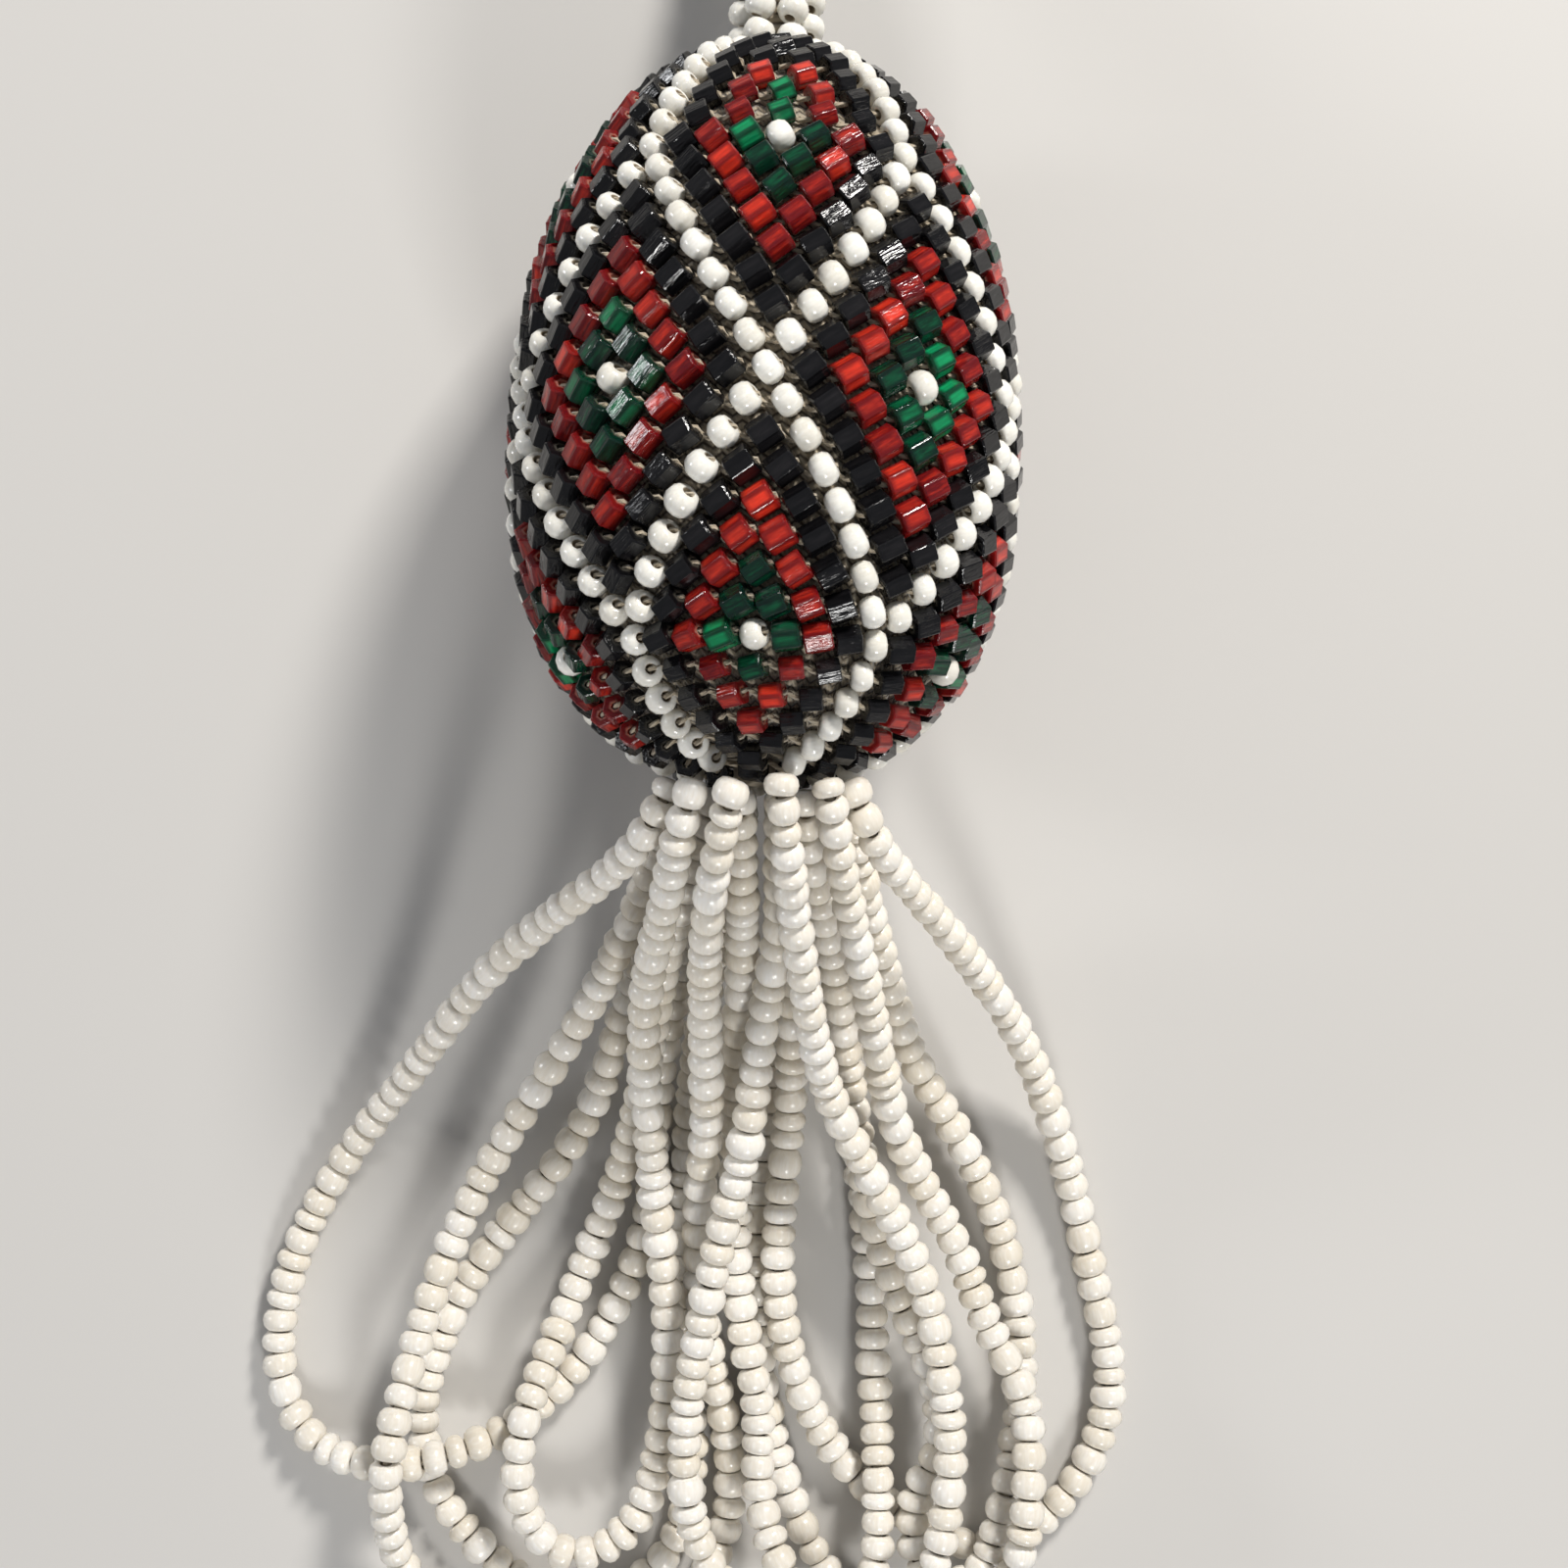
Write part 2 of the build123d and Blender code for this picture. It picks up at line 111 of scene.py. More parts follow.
STRAND_ROUTES = {
    "far_left": [
        (-0.008, -0.0332, 0.0313), (-0.0095, -0.037, 0.0312), (-0.0135, -0.0415, 0.0265),
        (-0.02, -0.046, 0.02), (-0.027, -0.052, 0.013), (-0.0335, -0.0605, 0.007),
        (-0.041, -0.0695, 0.0024), (-0.046, -0.078, 0.00175), (-0.0485, -0.0865, 0.00175),
        (-0.048, -0.0945, 0.00175), (-0.0435, -0.1, 0.0028), (-0.036, -0.1005, 0.0055),
        (-0.03, -0.099, 0.0052), (-0.0245, -0.097, 0.0026), (-0.0185, -0.0915, 0.00175),
        (-0.014, -0.084, 0.00175), (-0.0115, -0.0765, 0.00175), (-0.011, -0.0675, 0.00175),
        (-0.01, -0.0585, 0.004), (-0.0075, -0.0495, 0.009), (-0.0045, -0.042, 0.0164),
        (-0.0025, -0.0357, 0.0209),
    ],
    "left_two": [
        (-0.008, -0.0337, 0.0271), (-0.0095, -0.0395, 0.0249), (-0.012, -0.0455, 0.018),
        (-0.0155, -0.0525, 0.012), (-0.02, -0.06, 0.0085), (-0.025, -0.0675, 0.0065),
        (-0.029, -0.0745, 0.0055), (-0.032, -0.0815, 0.0053), (-0.0345, -0.0895, 0.0063),
        (-0.036, -0.096, 0.0095), (-0.037, -0.1025, 0.0086), (-0.036, -0.111, 0.004),
        (-0.0305, -0.1175, 0.00175), (-0.0225, -0.12, 0.00175), (-0.014, -0.119, 0.00175),
        (-0.007, -0.1145, 0.00175), (-0.0035, -0.107, 0.00175), (-0.0035, -0.099, 0.00175),
        (-0.0055, -0.09, 0.0048), (-0.0065, -0.0815, 0.0054), (-0.0065, -0.0735, 0.008),
        (-0.0055, -0.0665, 0.012), (-0.0055, -0.0585, 0.017), (-0.0055, -0.0515, 0.023),
        (-0.005, -0.045, 0.0285), (-0.004, -0.0395, 0.0344), (-0.0025, -0.0332, 0.0369),
    ],
    "left_three": [
        (-0.006, -0.0342, 0.0235), (-0.008, -0.041, 0.0197), (-0.011, -0.0485, 0.0125),
        (-0.014, -0.0565, 0.0075), (-0.0165, -0.0645, 0.0045), (-0.02, -0.0705, 0.003),
        (-0.025, -0.0765, 0.002), (-0.0295, -0.0825, 0.00175), (-0.0325, -0.089, 0.00175),
        (-0.0345, -0.096, 0.00175), (-0.033, -0.1035, 0.00175), (-0.028, -0.11, 0.00175),
        (-0.0215, -0.1145, 0.00175), (-0.014, -0.114, 0.00175), (-0.0085, -0.109, 0.00175),
        (-0.007, -0.1005, 0.00175), (-0.008, -0.092, 0.00175), (-0.0085, -0.083, 0.00175),
        (-0.008, -0.0745, 0.00175), (-0.0075, -0.0655, 0.004), (-0.006, -0.056, 0.01),
        (-0.0045, -0.0475, 0.0165), (-0.0025, -0.041, 0.0229), (-0.002, -0.0352, 0.026),
    ],
    "left_front": [
        (-0.006, -0.0332, 0.0349), (-0.0075, -0.0385, 0.0331), (-0.009, -0.045, 0.0265),
        (-0.011, -0.052, 0.0198), (-0.0115, -0.0595, 0.0145), (-0.011, -0.0675, 0.0105),
        (-0.0105, -0.0755, 0.008), (-0.0095, -0.0845, 0.006), (-0.0095, -0.092, 0.0054),
        (-0.0105, -0.1, 0.0053), (-0.0125, -0.106, 0.0053), (-0.0175, -0.1095, 0.0053),
        (-0.022, -0.108, 0.0056), (-0.0245, -0.102, 0.0066), (-0.0235, -0.095, 0.007),
        (-0.0215, -0.09, 0.0045), (-0.0185, -0.0825, 0.0022), (-0.015, -0.074, 0.003),
        (-0.0125, -0.066, 0.006), (-0.011, -0.058, 0.011), (-0.009, -0.049, 0.0185),
        (-0.0065, -0.0415, 0.0259), (-0.004, -0.0342, 0.0292),
    ],
    "mid_front": [
        (0.0015, -0.0342, 0.0323), (0.0015, -0.0405, 0.0289), (0.0015, -0.047, 0.0235),
        (0, -0.0545, 0.0186), (-0.001, -0.062, 0.0158), (-0.002, -0.069, 0.0138),
        (-0.004, -0.0755, 0.0122), (-0.0055, -0.0825, 0.0112), (-0.007, -0.0895, 0.0098),
        (-0.008, -0.0975, 0.009), (-0.0075, -0.1045, 0.0084), (-0.0045, -0.112, 0.006),
        (0.0015, -0.1165, 0.0052), (0.0075, -0.1155, 0.0052), (0.011, -0.111, 0.0052),
        (0.011, -0.104, 0.0053), (0.011, -0.0965, 0.0034), (0.0105, -0.089, 0.00175),
        (0.0105, -0.0815, 0.00175), (0.0095, -0.0735, 0.00175), (0.0085, -0.0655, 0.0019),
        (0.0075, -0.0575, 0.005), (0.0065, -0.0495, 0.011), (0.006, -0.042, 0.0184),
        (0.0055, -0.0347, 0.0235),
    ],
    "mid_right": [
        (0.0015, -0.0327, 0.0369), (0.002, -0.0385, 0.0349), (0.0025, -0.044, 0.0298),
        (0.0035, -0.0505, 0.025), (0.0045, -0.057, 0.02), (0.006, -0.063, 0.016),
        (0.009, -0.069, 0.0126), (0.0125, -0.0755, 0.01), (0.0155, -0.082, 0.0092),
        (0.017, -0.0895, 0.0092), (0.018, -0.097, 0.0093), (0.0175, -0.104, 0.0093),
        (0.016, -0.1105, 0.0092), (0.0115, -0.1155, 0.0089), (0.006, -0.1155, 0.0089),
        (0.0015, -0.11, 0.008), (-0.001, -0.1025, 0.0056), (-0.0005, -0.095, 0.0052),
        (-0.002, -0.088, 0.0052), (-0.003, -0.0805, 0.0052), (-0.003, -0.073, 0.005),
        (-0.003, -0.065, 0.0075), (-0.0025, -0.057, 0.013), (-0.002, -0.049, 0.0195),
        (-0.002, -0.0425, 0.0269), (-0.002, -0.0342, 0.0323),
    ],
    "right_front": [
        (0.0055, -0.0332, 0.0349), (0.0065, -0.039, 0.0324), (0.0075, -0.044, 0.0275),
        (0.009, -0.0505, 0.0225), (0.0105, -0.058, 0.017), (0.012, -0.0655, 0.012),
        (0.015, -0.072, 0.0082), (0.019, -0.079, 0.0063), (0.0215, -0.0865, 0.006),
        (0.0255, -0.093, 0.0066), (0.0255, -0.1, 0.0088), (0.025, -0.1075, 0.0092),
        (0.022, -0.1155, 0.005), (0.0165, -0.12, 0.00175), (0.01, -0.1175, 0.00175),
        (0.005, -0.1105, 0.00175), (0.002, -0.1035, 0.00175), (0, -0.096, 0.00175),
        (-0.001, -0.087, 0.00175), (-0.001, -0.0765, 0.00175), (0, -0.0655, 0.00175),
        (0.001, -0.0565, 0.004), (0.0015, -0.0475, 0.0095), (0.0015, -0.042, 0.0159),
        (0.0015, -0.0352, 0.0215),
    ],
    "far_right": [
        (0.0075, -0.0332, 0.0313), (0.009, -0.037, 0.0312), (0.011, -0.0405, 0.0272),
        (0.0155, -0.0455, 0.021), (0.02, -0.051, 0.0145), (0.0245, -0.0575, 0.0085),
        (0.028, -0.0655, 0.0042), (0.0305, -0.074, 0.002), (0.0325, -0.083, 0.00175),
        (0.0345, -0.092, 0.00175), (0.033, -0.0995, 0.00175), (0.0285, -0.106, 0.00175),
        (0.022, -0.11, 0.00175), (0.016, -0.1075, 0.00175), (0.0105, -0.104, 0.00175),
        (0.006, -0.099, 0.00175), (0.0025, -0.091, 0.0036), (0.001, -0.0825, 0.0052),
        (0.0015, -0.074, 0.0052), (0.0025, -0.065, 0.006), (0.0025, -0.057, 0.0095),
        (0.0025, -0.0495, 0.0148), (0.002, -0.0425, 0.0211), (0.0015, -0.0347, 0.026),
    ],
    "right_two": [
        (0.0075, -0.0337, 0.0271), (0.0085, -0.04, 0.0237), (0.01, -0.0465, 0.0165),
        (0.012, -0.0535, 0.011), (0.014, -0.06, 0.007), (0.018, -0.0665, 0.0046),
        (0.0215, -0.073, 0.003), (0.024, -0.08, 0.0019), (0.0255, -0.089, 0.00175),
        (0.025, -0.0965, 0.0026), (0.024, -0.1015, 0.0048), (0.0227, -0.1063, 0.005),
        (0.0216, -0.1105, 0.005), (0.0183, -0.1124, 0.0051), (0.0151, -0.1106, 0.0053),
        (0.0142, -0.106, 0.0053), (0.015, -0.102, 0.0053), (0.0175, -0.098, 0.0052),
        (0.0165, -0.091, 0.0049), (0.013, -0.084, 0.0052), (0.0105, -0.076, 0.0058),
        (0.009, -0.0685, 0.0074), (0.008, -0.061, 0.01), (0.007, -0.053, 0.015),
        (0.0055, -0.046, 0.0206), (0.004, -0.04, 0.0265), (0.0035, -0.0342, 0.0292),
    ],
}


class Ring(IntEnum):
    """A bead's place in the diamond pattern, counted out from the eye."""

    EYE = 0
    GREEN = 1
    RED = 2
    BLACK = 3
    LINE = 4


@dataclass(frozen=True)
class Placed:
    """One bead: where its middle is, how it is turned (local Z is its hole) and its stretch."""

    spot: Vector
    turn: Quaternion
    size: Vector
    ring: Ring = Ring.LINE


@dataclass(frozen=True)
class Station:
    """A place on a line or an outline with its direction."""

    spot: Vector
    ahead: Vector


@dataclass(frozen=True)
class Lamp:
    """A square light that faces the object, in metres and watts."""

    name: str
    place: tuple[float, float, float]
    size: float
    power: float
    colour: tuple[float, float, float]


LAMPS = (
    Lamp("key", (0.26, 0.42, 0.42), 0.12, 4.6, (1.0, 0.97, 0.93)),
    Lamp("left", (-0.70, 0.10, 0.26), 0.13, 1.3, (0.97, 0.98, 1.0)),
    Lamp("front", (0.16, -0.66, 0.50), 0.16, 2.9, (1.0, 0.99, 0.97)),
)


@dataclass(frozen=True)
class BeadLook:
    """How one colour of bead looks.

    spread and streaks say how far a bead's own tone and its streaks reach from dark to light,
    the hole colour is painted shade inside the hole, starting where the share after streaks says,
    depth is subsurface, gloss is the coat or the specular level, a higher rarity makes pale beads
    fewer, and glow is painted light: it darkens a flat's borders so that its middle looks lit.
    """

    dark: tuple[float, float, float, float]
    light: tuple[float, float, float, float]
    # painted shade: the colour that darkens the wall and mouths of a bead's hole
    hole_shade: tuple[float, float, float, float]
    spread: float
    streaks: float
    hole_shade_from: float
    roughness: float
    depth: float
    gloss: float
    rarity: float = 1.0
    glow: float = 0.0


WHITE_LOOK = BeadLook(
    dark=(0.72, 0.69, 0.61, 1),
    light=(0.89, 0.88, 0.83, 1),
    hole_shade=(0.30, 0.24, 0.16, 1),
    spread=0.6,
    streaks=0.4,
    hole_shade_from=0.35,
    roughness=0.2,
    depth=0.2,
    gloss=0.2,
)
STRAND_LOOK = BeadLook(
    dark=(0.74, 0.68, 0.57, 1),
    light=(0.90, 0.88, 0.84, 1),
    hole_shade=(0.36, 0.30, 0.21, 1),
    spread=0.55,
    streaks=0.35,
    hole_shade_from=0.5,
    roughness=0.28,
    depth=0.2,
    gloss=0.12,
)
GREEN_LOOK = BeadLook(
    dark=(0.003, 0.012, 0.009, 1),
    light=(0.008, 0.30, 0.11, 1),
    hole_shade=(0.10, 0.10, 0.07, 1),
    spread=0.75,
    streaks=0.22,
    hole_shade_from=0.6,
    roughness=0.09,
    depth=0.3,
    gloss=0.4,
    rarity=3.0,
    glow=0.85,
)
RED_LOOK = BeadLook(
    dark=(0.10, 0.004, 0.007, 1),
    light=(0.78, 0.05, 0.022, 1),
    hole_shade=(0.36, 0.14, 0.10, 1),
    spread=0.7,
    streaks=0.35,
    hole_shade_from=0.6,
    roughness=0.12,
    depth=0.45,
    gloss=0.4,
    rarity=1.8,
    glow=0.8,
)
BLACK_LOOK = BeadLook(
    dark=(0.0025, 0.0025, 0.003, 1),
    light=(0.013, 0.012, 0.013, 1),
    hole_shade=(0.05, 0.045, 0.035, 1),
    spread=0.5,
    streaks=0.5,
    hole_shade_from=0.6,
    roughness=0.09,
    depth=0.0,
    gloss=0.4,
    glow=0.5,
)
# painted shade in the grooves between knitted stitches
COTTON_GROOVE_SHADE = (0.07, 0.052, 0.032, 1)
COTTON_DARK = (0.34, 0.275, 0.19, 1)
COTTON_LIGHT = (0.60, 0.53, 0.40, 1)
WOOD_DARK, WOOD_LIGHT = (0.36, 0.22, 0.12, 1), (0.66, 0.48, 0.30, 1)
FLOOR_DARK, FLOOR_LIGHT = (0.55, 0.535, 0.51, 1), (0.60, 0.585, 0.56, 1)

# Numbers of the shaders.
GLASS_IOR, BUMP_DEPTH = 1.5, 0.1 * MM
STREAK_STRETCH, STREAK_SCALE, STREAK_BAND = (2.2, 2.2, 0.35), 1.6, (0.4, 0.66)
TONE_SHIFT = 57.0  # noise dimensions between the first bead's streaks and the last one's
WINDOW_ACROSS, WINDOW_ALONG = (-0.75, 0.15), (CUT_LENGTH * 0.46, CUT_LENGTH * 0.27)
RAGGED, RAGGED_SCALE = 0.24, 900.0
FIBRE_SCALE, BLOTCH_SCALE = 3800.0, 420.0
PLIES, PLY_TWIST = 3.0, 0.9
GRAIN_STRETCH = (420, 60, 420)


class Trail:
    """A line of close points that can be asked for a place at a distance along it."""

    def __init__(self, points: Sequence[Vector]) -> None:
        """Args:
        points: the line's points in order.
        """
        self.points = list(points)
        steps = [(b - a).length for a, b in pairwise(self.points)]
        self.marks = [0.0, *accumulate(steps)]

    @property
    def length(self) -> float:
        """Length of the whole line."""
        return self.marks[-1]

    def at(self, distance: float) -> Station:
        """Args:
            distance: how far along the line.

        Returns:
            The place there, with the direction of the line.
        """
        low, high = 0, len(self.points) - 2
        while low < high:
            middle = (low + high + 1) // 2
            low, high = (middle, high) if self.marks[middle] <= distance else (low, middle - 1)
        a, b = self.points[low], self.points[low + 1]
        share = (distance - self.marks[low]) / (self.marks[low + 1] - self.marks[low])
        before = self.points[max(0, low - 1)]
        after = self.points[min(len(self.points) - 1, low + 2)]
        ahead = (b - before).lerp(after - a, min(max(share, 0), 1)).normalized()
        return Station(a.lerp(b, share), ahead)


def nurbs_trail(route: Iterable[Sequence[float]]) -> Trail:
    """Args:
        route: control points in metres.

    Returns:
        The smooth line of the NURBS spline with those control points.
    """
    points = list(route)
    curve = bpy.data.curves.new("route", "CURVE")
    curve.dimensions = "3D"
    curve.resolution_u = 16
    curve.render_resolution_u = 16
    spline = curve.splines.new("NURBS")
    spline.points.add(len(points) - 1)
    for point, place in zip(spline.points, points):
        point.co = (*place, 1)
    spline.order_u = 3
    spline.use_endpoint_u = True
    holder = bpy.data.objects.new("route", curve)
    line = bpy.data.meshes.new_from_object(holder)
    found = [vertex.co.copy() for vertex in line.vertices]
    bpy.data.objects.remove(holder)
    bpy.data.meshes.remove(line)
    bpy.data.curves.remove(curve)
    return Trail(found)


class Outline:
    """Half of the egg's profile over a given depth: superellipse quarters, in millimetres."""

    STEPS = 1500

    def __init__(self, pole: float, girth: float, power: float) -> None:
        """Args:
        pole: distance of the pole from the widest round, plus toward the pointed end.
        girth: radius of the widest round.
        power: superellipse power.
        """
        points = []
        for step in range(self.STEPS + 1):
            angle = math.pi / 2 * step / self.STEPS
            out = girth * max(math.cos(angle), 0) ** (2 / power)
            points.append(Vector((out, pole * math.sin(angle) ** (2 / power), 0)))
        self.trail = Trail(points)
        self.sign = math.copysign(1, pole)

    def at(self, distance: float) -> Station:
        """Args:
            distance: along the profile from the widest round, never negative.

        Returns:
            X out of the axis and Y along it, with the direction toward the pointed end.
        """
        station = self.trail.at(distance)
        return Station(station.spot, station.ahead * self.sign)


def egg_outlines(grown: float) -> tuple[Outline, Outline]:
    """Args:
        grown: distance over the core, in millimetres.

    Returns:
        The pointed and the blunt outline there.
    """
    girth = CORE_DIAMETER / 2 + grown
    pointed = Outline(CORE_POINTED + grown, girth, POINTED_POWER)
    return pointed, Outline(-CORE_BLUNT - grown, girth, BLUNT_POWER)


def egg_place() -> Matrix:
    """Where the egg lies: from its own millimetres, axis along Y, to the frame in metres."""
    lean = Matrix.Rotation(math.radians(-EGG_LEAN), 4, "Z")
    tilt = Matrix.Rotation(math.radians(-EGG_TILT), 4, "X")
    return Matrix.Scale(MM, 4) @ Matrix.Translation(EGG_CENTRE) @ lean @ tilt


def bead_turn(out: Vector, hole: Vector) -> Quaternion:
    """Args:
        out: away from what the bead sits on.
        hole: along its hole.

    Returns:
        The turn that puts the bead's Z along its hole and its X near out.
    """
    z = hole.normalized()
    y = z.cross(out).normalized()
    x = y.cross(z)
    return Matrix((x, y, z)).transposed().to_quaternion()


class EggCover:
    """The beads on the egg and the thread that runs through them, as part.py lays them."""

    def __init__(self, seed: int) -> None:
        """Args:
        seed: for the small unevenness of handwork.
        """
        self.random = random.Random(seed)
        self.place = egg_place()
        self.turn = self.place.to_3x3().normalized().to_quaternion()
        self.beads: list[Placed] = []
        self.threads: list[list[Vector]] = []
        outlines = egg_outlines(JACKET + SEED_DIAMETER / 2)
        for row in range(-LAST_ROW, CLOSING_ROW + 1):
            self._add_row(row, *outlines)

    @staticmethod
    def _ring_in_full_row(row: int, column: float) -> Ring:
        """Ring of a bead where eyes sit on rows 0 and +-FULL_ROWS."""
        half = SECTOR_BEADS / 2
        to_middle = abs(row) / 2 + abs(column % SECTOR_BEADS - half)
        to_end = (FULL_ROWS - abs(row)) / 2 + abs((column + half) % SECTOR_BEADS - half)
        return Ring(round(min(to_middle, to_end)))

    def _full_row(self, row: int) -> list[tuple[float, Ring]]:
        """Degrees round the egg and the ring of each bead of a row near the middle."""
        around = SECTORS * SECTOR_BEADS
        columns = [index + (0.5 if row % 2 else 0) for index in range(around)]
        return [(360 / around * c, self._ring_in_full_row(row, c)) for c in columns]

    @staticmethod
    def _end_row(row: int, radius: float) -> list[tuple[float, Ring]]:
        """Degrees round the egg and the ring of each bead of a row that narrows to a pole."""
        sector = 360 / SECTORS
        count = min(SECTOR_BEADS, round(2 * math.pi * radius / (SECTORS * END_PITCH)))
        if count == 1:
            return [(sector * number, Ring.BLACK) for number in range(SECTORS)]
        beads = []
        for number in range(SECTORS * count):
            index = number % count
            ring = math.ceil((abs(row) - FULL_ROWS) / 2 + abs(index - count / 2))
            ring = Ring.LINE if index == 0 else Ring(min(ring, Ring.BLACK))
            beads.append((sector / 2 + sector * number / count, ring))
        return beads

    @staticmethod
    def _scale(row: int, ring: Ring) -> float:
        """Size of a bead as a share of a full one."""
        if abs(row) > FULL_ROWS:
            return (1 + END_SCALE) / 2 if ring in (Ring.EYE, Ring.LINE) else END_SCALE
        return SHOULDER_SCALE if abs(row) >= SHOULDER_ROW else 1.0

    def _add_row(self, row: int, pointed: Outline, blunt: Outline) -> None:
        """Lays one row's beads and the thread through them."""
        past = math.copysign(END_GAP, row) if abs(row) > FULL_ROWS else 0
        distance = FIRST_ROW - ROW_SPACING * row - past
        outline = pointed if distance > 0 else blunt
        station = outline.at(abs(distance))
        radius = station.spot.x
        full = abs(row) <= FULL_ROWS
        beads = self._full_row(row) if full else self._end_row(row, radius)
        pitch = 2 * math.pi * radius / len(beads)
        slant = END_SLANT
        if full:
            slant = min(BEAD_SLANT, math.degrees(math.acos(min(1, CUT_LENGTH / pitch))))
        route: list[Vector] = []
        for turn, ring in beads:
            spun = math.radians(PATTERN_SPIN + turn - ROW_TWIST * row)
            bead, mouths = self._bead(station, spun, slant, ring, self._scale(row, ring))
            self.beads.append(bead)
            route.extend(mouths)
        self.threads.append([*route, route[0]])

    def _bead(
        self, station: Station, spun: float, slant: float, ring: Ring, scale: float
    ) -> tuple[Placed, list[Vector]]:
        """One bead, with the thread's points from its first mouth to the dip after it."""
        out = Vector((math.sin(spun), 0, math.cos(spun)))
        around = Vector((out.z, 0, -out.x))
        rise = out * station.ahead.x + Vector((0, station.ahead.y, 0))
        normal = around.cross(rise)
        middle = out * station.spot.x + Vector((0, station.spot.y, 0))
        wobble = self.random.gauss
        lean = math.radians(slant + wobble(0, BEAD_WOBBLE))
        hole = around * math.cos(lean) + rise * math.sin(lean)
        is_seed = ring in (Ring.EYE, Ring.LINE)
        raised = SEED_TIP if is_seed else CUT_TIP
        tipped = (hole + normal * (raised + wobble(0, BEAD_TIP))).normalized()
        spot = middle + normal * wobble(0, BEAD_LIFT)
        size = Vector([scale * (1 + wobble(0, BEAD_UNEVEN)) for _ in range(3)])
        size.y = size.x
        turn = self.turn @ bead_turn(normal, tipped)
        reach = scale * (SEED_LENGTH if is_seed else CUT_LENGTH) / 2 + THREAD_REACH
        dip = around * (reach + THREAD_REACH) - normal * THREAD_DIP
        marks = (spot - tipped * reach, spot, spot + tipped * reach, spot + dip)
        return Placed(self.place @ spot, turn, size, ring), [self.place @ mark for mark in marks]


class Strand:
    """Beads of uneven length threaded along a line."""

    def __init__(self, trail: Trail, seed: int, diameter: float) -> None:
        """Args:
        trail: the strand's line.
        seed: for the beads' lengths and turns.
        diameter: of the beads, in millimetres.
        """
        rng = random.Random(seed)
        lengths: list[float] = []
        while sum(lengths) + STRAND_GAP * len(lengths) < trail.length / MM:
            length = rng.gauss(MEAN_BEAD, STRAND_SPREAD)
            lengths.append(min(max(length, SHORTEST_BEAD), LONGEST_BEAD))
        fit = trail.length / (sum(lengths) + STRAND_GAP * len(lengths))
        self.beads: list[Placed] = []
        where = 0.0
        for index, length in enumerate(lengths):
            station = trail.at(where + (length + STRAND_GAP) * fit / 2)
            tilt = Vector([rng.gauss(0, STRAND_TILT) for _ in range(3)])
            if index in (0, len(lengths) - 1):
                tilt.z = -station.ahead.z
            turn = (station.ahead + tilt).to_track_quat("Z", "Y")
            spin = Quaternion((0, 0, 1), rng.uniform(0, math.tau))
            end = min(where, trail.length - where) / MM
            graded = diameter - STRAND_GRADE * max(0, 1 - end / STRAND_GRADED)
            across = graded / SEED_DIAMETER * (1 + rng.gauss(0, STRAND_UNEVEN))
            size = Vector((across, across, length * fit / MM / SEED_LENGTH))
            self.beads.append(Placed(station.spot.copy(), turn @ spin, size))
            where += (length + STRAND_GAP) * fit


class RopeCover:
    """The spiral of beads round the rope's core."""

    def __init__(self, trail: Trail, seed: int) -> None:
        """Args:
        trail: the rope's line.
        seed: for small unevenness.
        """
        rng = random.Random(seed)
        self.beads: list[Placed] = []
        step = ROPE_STEP / ROPE_AROUND * MM
        count = int((trail.length - (ROPE_START + ROPE_END) * MM) / step) + 1
        for index in range(count):
            station = trail.at(ROPE_START * MM + index * step)
            side = station.ahead.cross(UP).normalized()
            over = side.cross(station.ahead)
            turn = math.tau / ROPE_AROUND * index
            out = side * math.cos(turn) + over * math.sin(turn)
            around = station.ahead.cross(out)
            angle = math.radians(ROPE_SLANT + rng.gauss(0, BEAD_WOBBLE))
            hole = station.ahead * math.cos(angle) + around * math.sin(angle)
            stretch = 1 + rng.gauss(0, BEAD_UNEVEN)
            spot = station.spot + out * ROPE_RING * MM
            size = Vector((stretch, stretch, 1 + rng.gauss(0, BEAD_UNEVEN)))
            self.beads.append(Placed(spot, bead_turn(out, hole), size))


def new_mesh_object(name: str, mesh: Mesh) -> Object:
    """Args:
        name: of the object.
        mesh: its data.

    Returns:
        The object, linked into the scene at the origin.
    """
    made = bpy.data.objects.new(name, mesh)
    bpy.context.collection.objects.link(made)
    return made


def lathe(
    name: str, profile: Sequence[tuple[float, float]], around: Callable[[int], Vector], sides: int
) -> Mesh:
    """A ring-shaped mesh made by carrying a closed profile round Z.

    Args:
        name: of the mesh.
        profile: (radius, height) pairs in millimetres, the inner wall's two first.
        around: gives the section's unit point for a step round Z, which a radius scales.
        sides: steps round Z.

    Returns:
        A mesh with the point attributes "rim", 1 at the hole, and "local", the bead's own place.
    """
    mesh = bpy.data.meshes.new(name)
    made = bmesh.new()
    rim = made.verts.layers.float.new("rim")
    local = made.verts.layers.float_vector.new("local")
    inner = min(radius for radius, _ in profile)
    rings = []
    for radius, height in profile:
        at_hole = radius <= inner
        ring = []
        for step in range(sides):
            flat = around(step).normalized() if at_hole else around(step)
            vert = made.verts.new((flat.x * radius * MM, flat.y * radius * MM, height * MM))
            vert[rim] = float(at_hole)
            vert[local] = vert.co / MM
            ring.append(vert)
        rings.append(ring)
    for ring, following in zip(rings, rings[1:] + rings[:1]):
        for step in range(sides):
            after = (step + 1) % sides
            made.faces.new((ring[step], ring[after], following[after], following[step]))
    bmesh.ops.recalc_face_normals(made, faces=made.faces)
    made.to_mesh(mesh)
    made.free()
    return mesh


